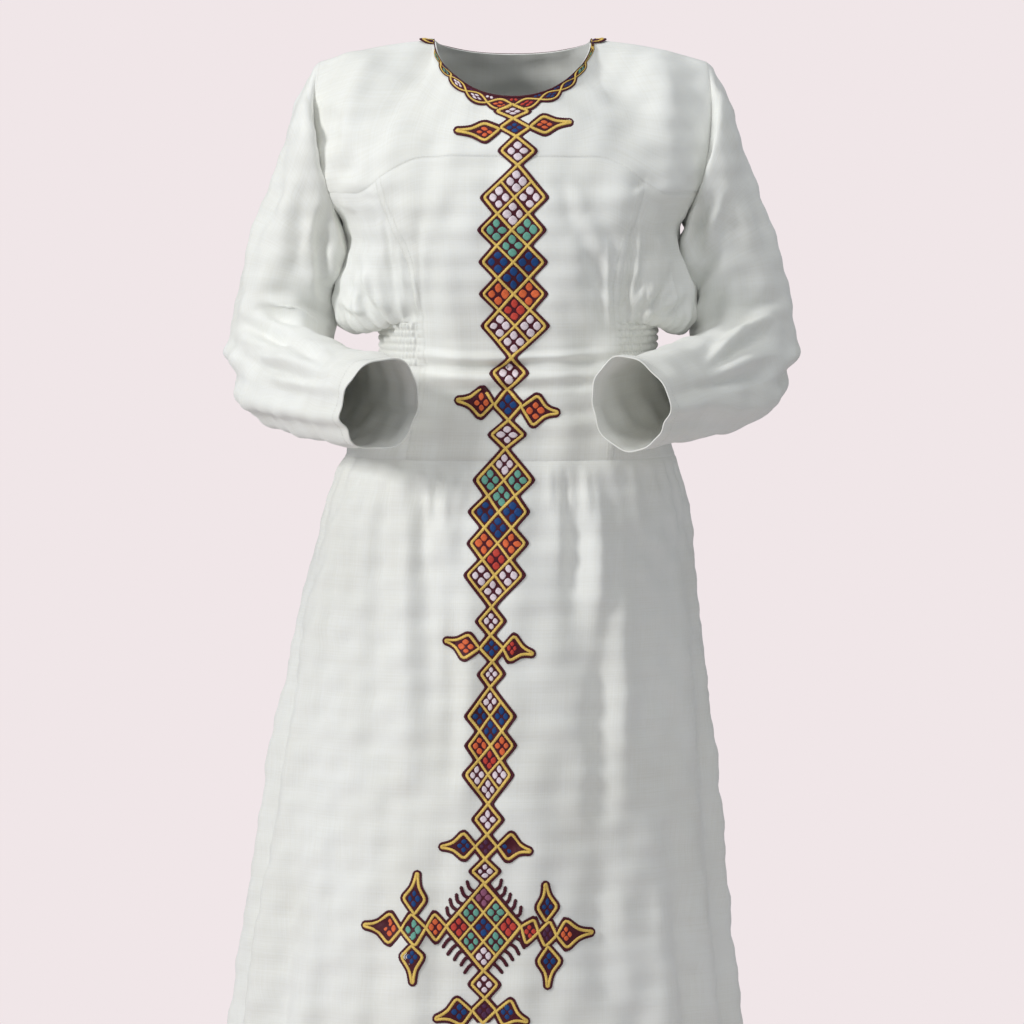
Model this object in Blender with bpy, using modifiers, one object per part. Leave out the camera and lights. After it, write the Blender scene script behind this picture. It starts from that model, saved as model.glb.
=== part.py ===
"""Habesha kemis: a long white cotton dress with set-in sleeves, shown filled out as it is worn.

Metres, +Z up, front towards -Y, +X to the viewer's right (the wearer's left).
The origin is the middle of the shoulder line, between the two neck points.
Every piece of cloth is a thin wall. Torso and skirt are cut from rings worked out
from tables of sizes; the yokes and sleeves are lofted from the edges of those rings.
"""

import math

import bpy
import numpy as np

# Driving sizes
WALL = 0.0012
SEAM_GAP = 0.0003
# Half the gap at a seam where the cloth bends, so that the inner edges stay apart too.
BENT_GAP = 0.0005
LEVEL_POWER = 0.9

# How many faces each panel has across and down; panels that meet share their edge points.
CENTRE_STEPS = 14
SIDE_STEPS = 6
YOKE_ROWS = 8
CHEST_ROWS = 7
WAIST_ROWS = 4
HIP_ROWS = 3
HIP_COLUMNS = 10
SLEEVE_ROWS_DOWN = 13
SKIRT_ROWS_DOWN = 9
# How often a place on a surface is corrected towards the one asked for.
SOLVER_STEPS = 12

SHOULDER_TIP = (0.199, 0.002, -0.023)
NECK_POINT = (0.080, 0.004, 0.0)
NECK_FRONT = (0.0, -0.080, -0.058)
NECK_BACK = (0.0, 0.064, -0.014)
NECK_SHARE = 0.42
SHOULDER_SAG = 0.004

YOKE_CENTRE_Z = -0.119
YOKE_SIDE_Z = -0.156
UNDERARM_Z = -0.184
ARMHOLE_ANGLE = math.radians(18)

SHIRRING_TOP_Z = -0.286
SHIRRING_BOTTOM_Z = -0.330
SHIRRING_ROWS = 6
SHIRRING_RELIEF = 0.0008
SHIRRING_PUCKERS = 8

SKIRT_TOP_Z = -0.424
HEM_Z = -1.360

# Half the width of the centre panels, at their top, at the waist and at the skirt seam.
PRINCESS_X = (
    (YOKE_CENTRE_Z, 0.136),
    (YOKE_SIDE_Z, 0.134),
    (-0.227, 0.109),
    (SHIRRING_TOP_Z, 0.103),
    (SHIRRING_BOTTOM_Z, 0.101),
    (SKIRT_TOP_Z, 0.105),
)

# Torso rings, from the chest to the seam of the skirt.
TORSO_COLUMNS = ("z", "centre", "half_width", "front", "back", "square")
TORSO_ROWS = (
    (-0.100, -0.002, 0.207, 0.106, 0.103, 0.05),
    (-0.119, -0.002, 0.206, 0.113, 0.105, 0.06),
    (-0.156, -0.002, 0.193, 0.127, 0.108, 0.07),
    (-0.186, -0.001, 0.171, 0.132, 0.110, 0.08),
    (-0.220, 0.001, 0.158, 0.131, 0.110, 0.08),
    (-0.260, 0.003, 0.151, 0.125, 0.106, 0.08),
    (-0.290, 0.005, 0.143, 0.119, 0.100, 0.07),
    (-0.330, 0.005, 0.142, 0.116, 0.098, 0.06),
    (-0.370, 0.002, 0.151, 0.119, 0.104, 0.05),
    (-0.424, -0.003, 0.168, 0.123, 0.114, 0.04),
)

# The side panel bags out over the shirring: how far out, and how far down, at each height.
POUCH_COLUMNS = ("z", "out", "down")
POUCH_ROWS = (
    (-0.186, 0.000, 0.000),
    (-0.205, 0.006, 0.000),
    (-0.225, 0.017, 0.001),
    (-0.245, 0.027, 0.004),
    (-0.262, 0.032, 0.011),
    (-0.274, 0.029, 0.017),
    (-0.281, 0.020, 0.018),
    (-0.286, 0.004, 0.006),
)

SIDE_GATHERS = 9
SIDE_GATHER_DEPTH = 0.0016
SIDE_GATHER_TOP_Z = -0.20

# Skirt rings, from the seam at the hips to the hem.
SKIRT_COLUMNS = ("z", "centre", "half_width", "front", "back", "square")
SKIRT_ROWS = (
    (-0.424, -0.003, 0.168, 0.123, 0.114, 0.04),
    (-0.470, -0.006, 0.184, 0.130, 0.128, 0.03),
    (-0.540, -0.011, 0.197, 0.139, 0.140, 0.02),
    (-0.660, -0.018, 0.212, 0.155, 0.156, 0.00),
    (-0.800, -0.024, 0.226, 0.175, 0.176, 0.00),
    (-0.946, -0.028, 0.243, 0.197, 0.200, 0.00),
    (-1.150, -0.030, 0.272, 0.229, 0.236, 0.00),
    (-1.360, -0.030, 0.303, 0.263, 0.272, 0.00),
)

# Folds of the skirt: where each crest lies round the skirt, half its breadth there, how far
# it stands out at the hem, and the heights where it begins and where it has its full depth.
FOLD_COLUMNS = ("degrees", "breadth", "depth", "start_z", "full_z")
FOLD_ROWS = (
    (-172, 9, 0.022, -0.43, -0.95),
    (-154, 8, 0.018, -0.45, -0.80),
    (-137, 9, 0.024, -0.43, -1.05),
    (-118, 8, 0.019, -0.50, -0.85),
    (-101, 9, 0.022, -0.43, -0.95),
    (-84, 8, 0.017, -0.46, -0.75),
    (-66, 9, 0.021, -0.44, -0.90),
    (-47, 8, 0.016, -0.62, -1.10),
    (-31, 7, 0.013, -0.86, -1.20),
    (-13, 8, 0.009, -0.96, -1.25),
    (9, 8, 0.008, -0.98, -1.30),
    (29, 8, 0.014, -0.84, -1.15),
    (46, 8, 0.017, -0.60, -1.05),
    (64, 9, 0.017, -0.45, -0.95),
    (82, 8, 0.021, -0.44, -0.85),
    (101, 9, 0.019, -0.48, -0.80),
    (119, 8, 0.023, -0.44, -0.95),
    (136, 9, 0.017, -0.46, -0.85),
    (153, 8, 0.021, -0.44, -1.00),
    (171, 9, 0.018, -0.45, -0.90),
)
GATHERS = 40
GATHER_DEPTH = 0.0018
GATHER_FADE = 0.055
FLAT_FRONT = math.radians(17)

# Rings of the wearer's right sleeve (at -X), from below the armhole to the cuff: the ends of
# its breadth beside the body and at its outer side, half its depth, and how far it faces forward.
SLEEVE_COLUMNS = ("in_x", "in_y", "in_z", "out_x", "out_y", "out_z", "deep", "forward")
SLEEVE_ROWS = (
    (-0.186, 0.006, -0.194, -0.219, 0.003, -0.058, 0.064, 0),
    (-0.190, 0.008, -0.212, -0.238, 0.006, -0.112, 0.063, 0),
    (-0.191, 0.011, -0.234, -0.256, 0.011, -0.168, 0.062, 2),
    (-0.190, 0.016, -0.260, -0.275, 0.016, -0.228, 0.062, 8),
    (-0.189, 0.020, -0.290, -0.288, 0.014, -0.284, 0.061, 24),
    (-0.186, 0.012, -0.318, -0.290, -0.004, -0.318, 0.060, 46),
    (-0.181, -0.010, -0.339, -0.279, -0.043, -0.339, 0.057, 64),
    (-0.168, -0.044, -0.349, -0.254, -0.089, -0.349, 0.053, 74),
    (-0.147, -0.085, -0.355, -0.223, -0.132, -0.355, 0.050, 79),
    (-0.119, -0.129, -0.360, -0.193, -0.176, -0.360, 0.048, 81),
    (-0.094, -0.164, -0.364, -0.170, -0.212, -0.364, 0.048, 81),
)
# How far the wearer's left cuff lies nearer the middle than the right one.
LEFT_CUFF_SHIFT = 0.016

# Folds of a sleeve: place round it (0 outer, 90 front), half breadth, depth, first and last ring.
SLEEVE_FOLD_COLUMNS = ("degrees", "breadth", "depth", "first", "last")
SLEEVE_FOLD_ROWS = (
    (150, 20, 0.010, 0.5, 4.6),
    (118, 16, -0.008, 0.4, 4.2),
    (60, 15, 0.004, 1.0, 3.8),
    (30, 14, -0.003, 1.6, 4.4),
    (215, 18, 0.006, 3.4, 7.6),
    (255, 16, -0.006, 4.0, 8.4),
    (300, 18, 0.005, 3.2, 7.8),
    (20, 16, -0.004, 4.6, 9.0),
    (340, 14, 0.004, 5.5, 10.0),
)

# Embroidery: a border round the neck, and a chain of lozenges down the middle of the front.
EMBROIDERY_WALL = 0.0012
EMBROIDERY_LIFT = 0.0009
BORDER_LIFT = 0.0011
BORDER_WIDTH = 0.020
BORDER_STEPS = 18
BORDER_REACH = 0.2
# The line down the middle of the embroidery, which sways as the dress hangs.
SWAY_COLUMNS = ("z", "x")
SWAY_ROWS = (
    (-0.060, 0.001),
    (-0.112, 0.004),
    (-0.250, 0.004),
    (-0.337, -0.003),
    (-0.398, -0.008),
    (-0.440, -0.010),
    (-0.585, -0.022),
    (-0.712, -0.024),
    (-0.808, -0.027),
    (-0.887, -0.029),
    (-0.985, -0.028),
)
# The motifs of the chain from the neck down. A motif of several steps is a lattice of
# lozenges, as wide as half_width at each step; one of a single step is one lozenge.
CHAIN_COLUMNS = ("top", "bottom", "half_width", "steps")
CHAIN_ROWS = (
    (-0.0765, -0.0805, 0.006, 1),
    (-0.0805, -0.0985, 0.014, 1),
    (-0.0985, -0.1255, 0.020, 1),
    (-0.1255, -0.3195, 0.036, 5),
    (-0.3195, -0.3530, 0.019, 1),
    (-0.3530, -0.3830, 0.014, 1),
    (-0.3830, -0.4110, 0.019, 1),
    (-0.4110, -0.5730, 0.031, 4),
    (-0.5730, -0.5980, 0.016, 1),
    (-0.5980, -0.6230, 0.012, 1),
    (-0.6230, -0.6480, 0.014, 1),
    (-0.6480, -0.7670, 0.026, 3),
    (-0.7670, -0.7960, 0.017, 1),
    (-0.7960, -0.8200, 0.011, 1),
    (-0.8200, -0.8440, 0.017, 1),
    (-0.8440, -0.9290, 0.039, 1),
    (-0.9290, -0.9590, 0.017, 1),
    (-0.9590, -0.9820, 0.011, 1),
)
TIP_HALF_WIDTH = 0.0025
NOTCH = 0.62
# The arms of the small crosses: where each leaves the chain, where its tail ends, and its height.
ARM_COLUMNS = ("name", "inner", "outer", "z", "half_height")
ARM_ROWS = (
    ("cross_1_arm_right", -0.013, -0.059, -0.092, 0.009),
    ("cross_1_arm_left", 0.018, 0.061, -0.087, 0.009),
    ("cross_2_arm_right", -0.021, -0.060, -0.365, 0.017),
    ("cross_2_arm_left", 0.009, 0.048, -0.374, 0.017),
    ("cross_3_arm_right", -0.036, -0.071, -0.607, 0.012),
    ("cross_3_arm_left", -0.010, 0.023, -0.611, 0.012),
    ("cross_4_arm_right", -0.039, -0.075, -0.807, 0.012),
    ("cross_4_arm_left", -0.015, 0.020, -0.809, 0.012),
    ("cross_5_arm_right", -0.040, -0.080, -0.972, 0.012),
    ("cross_5_arm_left", -0.016, 0.017, -0.974, 0.012),
    ("medallion_side_right", -0.072, -0.155, -0.888, 0.056),
    ("medallion_side_left", 0.014, 0.083, -0.893, 0.056),
)
# Outlines of an arm and of a cross beside the medallion: how far along, and what share of the height.
ARM_OUTLINE = ((0.03, 0.25), (0.34, 1.0), (0.66, 0.25), (1.0, 0.12))
SIDE_CROSS_OUTLINE = (
    (0.0, 0.08),
    (0.13, 0.28),
    (0.24, 0.42),
    (0.33, 1.0),
    (0.43, 0.42),
    (0.60, 0.30),
    (0.80, 0.12),
    (1.0, 0.05),
)

CLOTH = ("white cotton", (0.86, 0.86, 0.83, 1.0), 0.85, 0.0)
MAROON = ("maroon embroidery thread", (0.19, 0.02, 0.05, 1.0), 0.6, 0.0)


def column(columns, rows, name):
    """One named column of a table, as an array."""
    return np.array([row[columns.index(name)] for row in rows], float)


def smooth(at, places, values):
    """A smooth curve through values given at increasing places, as cubic pieces."""
    slopes = np.gradient(values, places)
    at = np.clip(at, places[0], places[-1])
    i = np.clip(np.searchsorted(places, at, side="right") - 1, 0, len(places) - 2)
    step = places[i + 1] - places[i]
    t = (at - places[i]) / step
    return (
        values[i] * (2 * t**3 - 3 * t**2 + 1)
        + slopes[i] * step * (t**3 - 2 * t**2 + t)
        + values[i + 1] * (3 * t**2 - 2 * t**3)
        + slopes[i + 1] * step * (t**3 - t**2)
    )


def down(at_z, columns, rows, name):
    """A column of a table whose z falls from row to row, read at any height."""
    depth = -column(columns, rows, "z")
    return smooth(-np.asarray(at_z, float), depth, column(columns, rows, name))


def step_up(t):
    """Rises smoothly from 0 to 1 as t goes from 0 to 1."""
    t = np.clip(t, 0, 1)
    return t * t * (3 - 2 * t)


def bump(distance, breadth):
    """1 in the middle, falling smoothly to 0 at breadth to either side."""
    return np.where(np.abs(distance) < breadth, 0.5 + 0.5 * np.cos(np.pi * distance / breadth), 0.0)


def ring(theta, z, columns, rows):
    """A point of a torso or skirt ring. theta is 0 at the front, 90 degrees at +X."""
    read = {name: down(z, columns, rows, name) for name in columns[1:]}
    out = 1 + read["square"] * np.sin(2 * theta) ** 2
    depth = np.where(np.cos(theta) > 0, read["front"], read["back"])
    return np.stack(
        np.broadcast_arrays(
            read["centre"] + read["half_width"] * np.sin(theta) * out,
            -depth * np.cos(theta) * out,
            z,
        ),
        axis=-1,
    )


def torso(theta, z):
    """The close-fitting part of the dress, from the chest to the hips."""
    return ring(theta, z, TORSO_COLUMNS, TORSO_ROWS)


def outward(theta):
    """The level direction away from the middle of the body."""
    return np.stack(np.broadcast_arrays(np.sin(theta), -np.cos(theta), 0.0 * theta), axis=-1)


def princess_angle(z):
    """How far round the torso ring of height z the seam beside a centre panel lies."""
    heights, halves = np.array(PRINCESS_X).T
    x = smooth(-np.asarray(z, float), -heights, halves)
    half_width = down(z, TORSO_COLUMNS, TORSO_ROWS, "half_width")
    square = down(z, TORSO_COLUMNS, TORSO_ROWS, "square")
    angle = np.arcsin(x / half_width)
    for _ in range(SOLVER_STEPS):
        angle = np.arcsin(x / half_width / (1 + square * np.sin(2 * angle) ** 2))
    return angle


def yoke_z(theta):
    """Height of a yoke's lower edge: higher across the centre panel than at its sides."""
    off_centre = np.abs(np.arctan2(np.sin(theta), np.abs(np.cos(theta))))
    low = step_up((off_centre - math.radians(24)) / math.radians(26))
    return YOKE_CENTRE_Z + (YOKE_SIDE_Z - YOKE_CENTRE_Z) * low


def armhole_z(theta):
    """Height of the side panel's upper edge, which dips under the arm."""
    from_side = np.abs(np.arctan2(np.cos(theta), np.abs(np.sin(theta)))) / ARMHOLE_ANGLE
    dip = UNDERARM_Z + (YOKE_SIDE_Z - UNDERARM_Z) * np.clip(from_side, 0, 1) ** 2
    return np.where(from_side < 1, dip, yoke_z(theta))


def hermite(start, end, start_pull, end_pull, t):
    """A curve from start to end that leaves and arrives along the two pulls."""
    t = t[..., None]
    return (
        start * (2 * t**3 - 3 * t**2 + 1)
        + start_pull * (t**3 - 2 * t**2 + t)
        + end * (3 * t**2 - 2 * t**3)
        + end_pull * (t**3 - t**2)
    )


def yoke_top(share, front):
    """The shoulder seam and neckline. share runs from -1 at one tip over 0 to 1 at the other."""
    side = np.sign(share)
    along = np.clip((np.abs(share) - NECK_SHARE) / (1 - NECK_SHARE), 0, 1)
    tip, point = np.array(SHOULDER_TIP), np.array(NECK_POINT)
    shoulder = point + (tip - point) * along[..., None]
    shoulder[..., 2] += SHOULDER_SAG * np.sin(np.pi * along)
    shoulder[..., 0] *= side
    low = np.array(NECK_FRONT if front else NECK_BACK)
    turn = np.clip(share / NECK_SHARE, -1, 1) * np.pi / 2
    neck = np.stack(
        [
            point[0] * np.sin(turn) * (1 - 0.05 * np.sin(2 * turn) ** 2),
            low[1] + (point[1] - low[1]) * (1 - np.cos(turn)),
            low[2] + (point[2] - low[2]) * (1 - np.cos(turn)),
        ],
        axis=-1,
    )
    return np.where((np.abs(share) > NECK_SHARE)[..., None], shoulder, neck)


def yoke(share, t, front):
    """The upper bodice. share runs between the armholes, t from the lower edge up to the shoulder.

    Each share gives one curve that leaves the torso rings along their own slope and comes
    over the shoulder nearly level; t is one value for each share, or a column of them.
    """
    arm = np.pi / 2 - ARMHOLE_ANGLE
    theta = share * arm if front else np.pi - share * arm
    level = yoke_z(theta)
    start = torso(theta, level)
    rise = (torso(theta, level + 0.004) - start) / 0.004
    end = yoke_top(share, front)
    to_tip = step_up((np.abs(share) - 0.72) / 0.28)[..., None]
    to_shoulder = step_up((np.abs(share) - 0.20) / 0.22)[..., None]
    height = (end - start)[..., 2:3]
    reach = np.linalg.norm((end - start)[..., :2], axis=-1)[..., None]
    back = -1 if front else 1
    flat = np.array([0.0, -back, 0.0])
    slope = np.array([0.0, -back * 0.70, 0.72])
    start_pull = rise * height * (1.0 + 0.25 * to_shoulder - 0.25 * to_tip)
    end_pull = flat * to_shoulder * (reach * 1.25 + 0.02) + slope * (1 - to_shoulder) * height * 1.1
    return hermite(start, end, start_pull, end_pull, t)


def side_panel(theta, z):
    """The torso under the arm, bagging out over the shirred waist."""
    front = princess_angle(z)
    share = np.clip((np.abs(theta) - front) / (np.pi - 2 * front), 0, 1)
    swell = (np.sin(np.pi * share) ** 1.2)[..., None]
    out = down(z, POUCH_COLUMNS, POUCH_ROWS, "out")[..., None]
    sag = down(z, POUCH_COLUMNS, POUCH_ROWS, "down")[..., None]
    pleats = SIDE_GATHER_DEPTH * np.cos(share * 2 * np.pi * SIDE_GATHERS)
    pleats = pleats * step_up((SIDE_GATHER_TOP_Z - z) / 0.06) * step_up((z - SHIRRING_TOP_Z) / 0.012)
    pleats = pleats * np.clip(swell[..., 0] * 4, 0, 1)
    points = torso(theta, z) + outward(theta) * (out * swell + pleats[..., None])
    points[..., 2] -= (sag * swell)[..., 0]
    return points


def skirt(theta, z):
    """The skirt, with small gathers below its seam that open into broad folds."""
    points = ring(theta, z, SKIRT_COLUMNS, SKIRT_ROWS)
    fall = np.clip((SKIRT_TOP_Z - z) / (SKIRT_TOP_Z - HEM_Z), 0, 1)
    out = np.zeros(np.broadcast(theta, z).shape)
    for row in FOLD_ROWS:
        fold = dict(zip(FOLD_COLUMNS, row))
        away = (np.degrees(theta) - fold["degrees"] + 180) % 360 - 180
        grown = step_up((fold["start_z"] - z) / (fold["start_z"] - fold["full_z"]))
        out = out + bump(away, 1.15 * fold["breadth"]) * fold["depth"] * grown * (0.55 + 0.45 * fall)
    gathers = np.cos(GATHERS * theta) * GATHER_DEPTH
    gathers = gathers * step_up((np.abs(theta) - FLAT_FRONT) / FLAT_FRONT)
    just_below = step_up((SKIRT_TOP_Z - z) / 0.02) * np.exp((z - SKIRT_TOP_Z) / GATHER_FADE)
    return points + outward(theta) * (out + gathers * just_below)[..., None]


def armhole():
    """The wearer's right armhole, from the shoulder tip down the front, under the arm and up the back."""
    t = np.linspace(1, 0, YOKE_ROWS + 1)[:, None]
    share = np.array([-1.0])
    below = side_shares()[SIDE_STEPS + 1 : -SIDE_STEPS - 1]
    under = band_theta(below, 1, np.full(len(below), YOKE_SIDE_Z))
    return np.concatenate(
        [
            yoke(share, t, True)[:, 0],
            torso(-under, armhole_z(under)),
            yoke(share, t, False)[:0:-1, 0],
        ]
    )


def yoke_shares():
    """Where the columns of a yoke lie: over the centre panel, and over each side panel."""
    arm = np.pi / 2 - ARMHOLE_ANGLE
    centre = top_angle() / arm
    beside = np.linspace(centre, 1, SIDE_STEPS + 1)[1:]
    return np.concatenate([-beside[::-1], np.linspace(-centre, centre, CENTRE_STEPS + 1), beside])


def top_angle():
    """The angle of the princess seam where it leaves the front yoke."""
    return float(princess_angle(YOKE_SIDE_Z))


def side_shares():
    """Where the columns of a side panel lie: under the front yoke, the armhole and the back yoke."""
    front = top_angle()
    marks = np.array([front, np.pi / 2 - ARMHOLE_ANGLE, np.pi / 2 + ARMHOLE_ANGLE, np.pi - front])
    theta = np.interp(np.linspace(0, 3, 3 * SIDE_STEPS + 1), np.arange(4), marks)
    return (theta - front) / (np.pi - 2 * front)


def sleeve_ring(row, phi, index):
    """One ring of the wearer's right sleeve. phi is 0 at its outer side and 90 degrees at its front."""
    size = dict(zip(SLEEVE_COLUMNS, row))
    inner = np.array([size["in_x"], size["in_y"], size["in_z"]])
    outer = np.array([size["out_x"], size["out_y"], size["out_z"]])
    across = (outer - inner) / 2
    level = across / np.linalg.norm(across)
    front = np.array([0.0, -1.0, 0.0])
    front = front - level * front.dot(level)
    front /= np.linalg.norm(front)
    turn = math.radians(size["forward"])
    ahead = front * math.cos(turn) + np.cross(level, front) * math.sin(turn)
    out = np.ones(len(phi))
    for fold_row in SLEEVE_FOLD_ROWS:
        fold = dict(zip(SLEEVE_FOLD_COLUMNS, fold_row))
        away = (np.degrees(phi) - fold["degrees"] + 180) % 360 - 180
        middle = (fold["first"] + fold["last"]) / 2
        present = bump(index - middle, (fold["last"] - fold["first"]) / 2 + 0.01)
        out = out + bump(away, 1.4 * fold["breadth"]) * fold["depth"] / size["deep"] * present
    swing = np.cos(phi)[:, None] * across + np.sin(phi)[:, None] * ahead * size["deep"]
    return (inner + outer) / 2 + out[:, None] * swing


def sleeve(side, along):
    """A sleeve as a grid of closed rings, lofted from the armhole to the cuff."""
    start = armhole()
    step = np.linalg.norm(np.diff(np.concatenate([start, start[:1]]), axis=0), axis=-1)
    phi = 2 * np.pi * (np.cumsum(step) - step) / step.sum()
    rings = [start]
    rings += [sleeve_ring(row, phi, index + 1) for index, row in enumerate(SLEEVE_ROWS)]
    rows = smooth_rows(np.array(rings), along)
    if side > 0:
        rows = np.roll(rows[:, ::-1], 1, axis=1) * np.array([-1.0, 1.0, 1.0])
        below_elbow = step_up((np.linspace(0, 1, along) - 0.4) / 0.6)
        rows[..., 0] -= (LEFT_CUFF_SHIFT * below_elbow)[:, None]
    return rows


def smooth_rows(rows, count):
    """Rows of points again, with count rows on smooth curves through the given ones."""
    places = np.arange(len(rows), dtype=float)
    at = np.linspace(0, places[-1], count)
    flat = rows.reshape(len(rows), -1)
    out = np.stack([smooth(at, places, flat[:, k]) for k in range(flat.shape[1])], axis=-1)
    return out.reshape(count, *rows.shape[1:])


def inset(grid, **gaps):
    """Draws the named edges of a grid back along its own lines, for the gap at a seam."""
    grid = grid.copy()
    edges = {"top": (grid[0], grid[1]), "bottom": (grid[-1], grid[-2])}
    edges["left"] = (grid[:, 0], grid[:, 1])
    edges["right"] = (grid[:, -1], grid[:, -2])
    for name, gap in gaps.items():
        edge, beside = edges[name]
        way = beside - edge
        edge += way / np.linalg.norm(way, axis=-1, keepdims=True) * gap
    return grid


def front_yoke_at(x, z):
    """The share and t of the front yoke's points that lie at x and z, by stepwise correction."""
    share = x / SHOULDER_TIP[0]
    t = (z - YOKE_CENTRE_Z) / (NECK_FRONT[2] - YOKE_CENTRE_Z)
    nudge = 1e-4
    for _ in range(SOLVER_STEPS):
        here = yoke(share, t, True)
        by_share = (yoke(share + nudge, t, True) - here) / nudge
        by_t = (yoke(share, t + nudge, True) - here) / nudge
        miss_x, miss_z = x - here[..., 0], z - here[..., 2]
        scale = by_share[..., 0] * by_t[..., 2] - by_t[..., 0] * by_share[..., 2]
        share = share + (miss_x * by_t[..., 2] - miss_z * by_t[..., 0]) / scale
        t = t + (miss_z * by_share[..., 0] - miss_x * by_share[..., 2]) / scale
    return share, t


def front_at(x, z):
    """Points of the dress's front at the given x and z: yoke, centre panel or skirt."""
    x, z = np.broadcast_arrays(np.asarray(x, float), np.asarray(z, float))
    points = np.zeros(x.shape + (3,))
    high, low = z > YOKE_CENTRE_Z, z < SKIRT_TOP_Z
    if high.any():
        points[high] = yoke(*front_yoke_at(x[high], z[high]), True)
    for where, surface in ((low, skirt), (~high & ~low, torso)):
        theta = np.arcsin(x[where] / 0.24)
        for _ in range(SOLVER_STEPS):
            miss = x[where] - surface(theta, z[where])[..., 0]
            theta = theta + miss / 0.20
        points[where] = surface(theta, z[where])
    return points


def lifted(x, z):
    """Points that stand clear of the front at x and z, for the back and the face of embroidery."""
    nudge = 0.002
    across = front_at(x + nudge, z) - front_at(x - nudge, z)
    along = front_at(x, z - nudge) - front_at(x, z + nudge)
    out = np.cross(along, across)
    out /= np.linalg.norm(out, axis=-1, keepdims=True)
    return front_at(x, z) + out * (EMBROIDERY_LIFT + EMBROIDERY_WALL)


def material_for(name, colour, roughness, metallic):
    """The named finish, made once."""
    made = bpy.data.materials.get(name)
    if made is None:
        made = bpy.data.materials.new(name)
        made.use_nodes = True
        shader = made.node_tree.nodes["Principled BSDF"]
        shader.inputs["Base Color"].default_value = colour
        shader.inputs["Roughness"].default_value = roughness
        shader.inputs["Metallic"].default_value = metallic
        made.diffuse_color = colour
    return made


def grid_faces(rows, columns, wrap):
    """Four-cornered faces between neighbouring points of a grid, closed round if wrap."""
    faces = []
    for j in range(rows - 1):
        for i in range(columns if wrap else columns - 1):
            after = (i + 1) % columns
            faces.append(
                (j * columns + i, (j + 1) * columns + i, (j + 1) * columns + after, j * columns + after)
            )
    return faces


def cloth(name, grid, finish, collection, wrap=False, wall=WALL):
    """A panel: its outer surface as a grid of points, with its wall behind it."""
    rows, columns = grid.shape[:2]
    mesh = bpy.data.meshes.new(name)
    mesh.from_pydata(grid.reshape(-1, 3).tolist(), [], grid_faces(rows, columns, wrap))
    mesh.validate()
    mesh.shade_smooth()
    piece = bpy.data.objects.new(name, mesh)
    collection.objects.link(piece)
    mesh.materials.append(material_for(*finish))
    thicken = piece.modifiers.new("wall", "SOLIDIFY")
    thicken.thickness = wall
    thicken.offset = -1
    thicken.use_rim = True
    return piece


def bodice(collection):
    """The yokes, the centre panels, the side panels, and the waist and hips below them."""
    for front, name in ((True, "front_yoke"), (False, "back_yoke")):
        t = np.linspace(1, 0, YOKE_ROWS + 1)[:, None]
        grid = yoke(yoke_shares(), t, front)
        grid = grid if front else grid[:, ::-1]
        grid = inset(grid, top=BENT_GAP, bottom=BENT_GAP, left=SEAM_GAP, right=SEAM_GAP)
        cloth(name, grid, CLOTH, collection)

    for front, name in ((True, "centre_front"), (False, "centre_back")):
        share = np.linspace(-1, 1, CENTRE_STEPS + 1)
        top = yoke_z(share * top_angle())
        level = np.linspace(0, 1, CHEST_ROWS + 1)[:-1, None] ** LEVEL_POWER
        upper = top + (SHIRRING_TOP_Z - top) * level
        waist = np.linspace(SHIRRING_TOP_Z, SHIRRING_BOTTOM_Z, WAIST_ROWS + 1)[:-1]
        hip = np.linspace(SHIRRING_BOTTOM_Z, SKIRT_TOP_Z, HIP_ROWS + 1)
        lower = np.concatenate([waist, hip])[:, None] + 0 * share
        z = np.concatenate([upper, lower])
        angle = share * princess_angle(z)
        theta = angle if front else np.pi + angle
        grid = inset(torso(theta, z), top=BENT_GAP, bottom=SEAM_GAP, left=SEAM_GAP, right=SEAM_GAP)
        cloth(name, grid, CLOTH, collection)

    for side, hand in ((-1, "right"), (1, "left")):
        grid = side_grid(side_shares(), side, CHEST_ROWS + 1)
        grid = inset(grid, top=BENT_GAP, bottom=BENT_GAP, left=SEAM_GAP, right=SEAM_GAP)
        cloth(f"side_panel_{hand}", grid, CLOTH, collection)
        share = np.linspace(0, 1, HIP_COLUMNS + 1)
        waist = band_grid(share, side, SHIRRING_BOTTOM_Z, SKIRT_TOP_Z, HIP_ROWS + 1)
        waist = inset(waist, top=SEAM_GAP, bottom=SEAM_GAP, left=SEAM_GAP, right=SEAM_GAP)
        cloth(f"side_waist_{hand}", waist, CLOTH, collection)
        shirring(side, hand, collection)


def band_theta(share, side, z):
    """Angles from the front seam round the side to the back seam, in the order that faces outwards."""
    front = princess_angle(z)
    across = front + (np.pi - 2 * front) * share
    return across if side > 0 else -(np.pi - across)


def side_grid(share, side, rows):
    """The side panel's points, from the yokes and the armhole down to the shirring."""
    level = np.linspace(0, 1, rows)[:, None] ** LEVEL_POWER
    start = band_theta(share, side, np.full(len(share), YOKE_SIDE_Z))
    top = armhole_z(start)
    z = top + (SHIRRING_TOP_Z - top) * level
    return side_panel(band_theta(share, side, z), z)


def band_grid(share, side, top, bottom, rows):
    """A plain band round the side between two heights."""
    z = np.linspace(top, bottom, rows)[:, None] + 0 * share
    return torso(band_theta(share, side, z), z)


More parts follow.
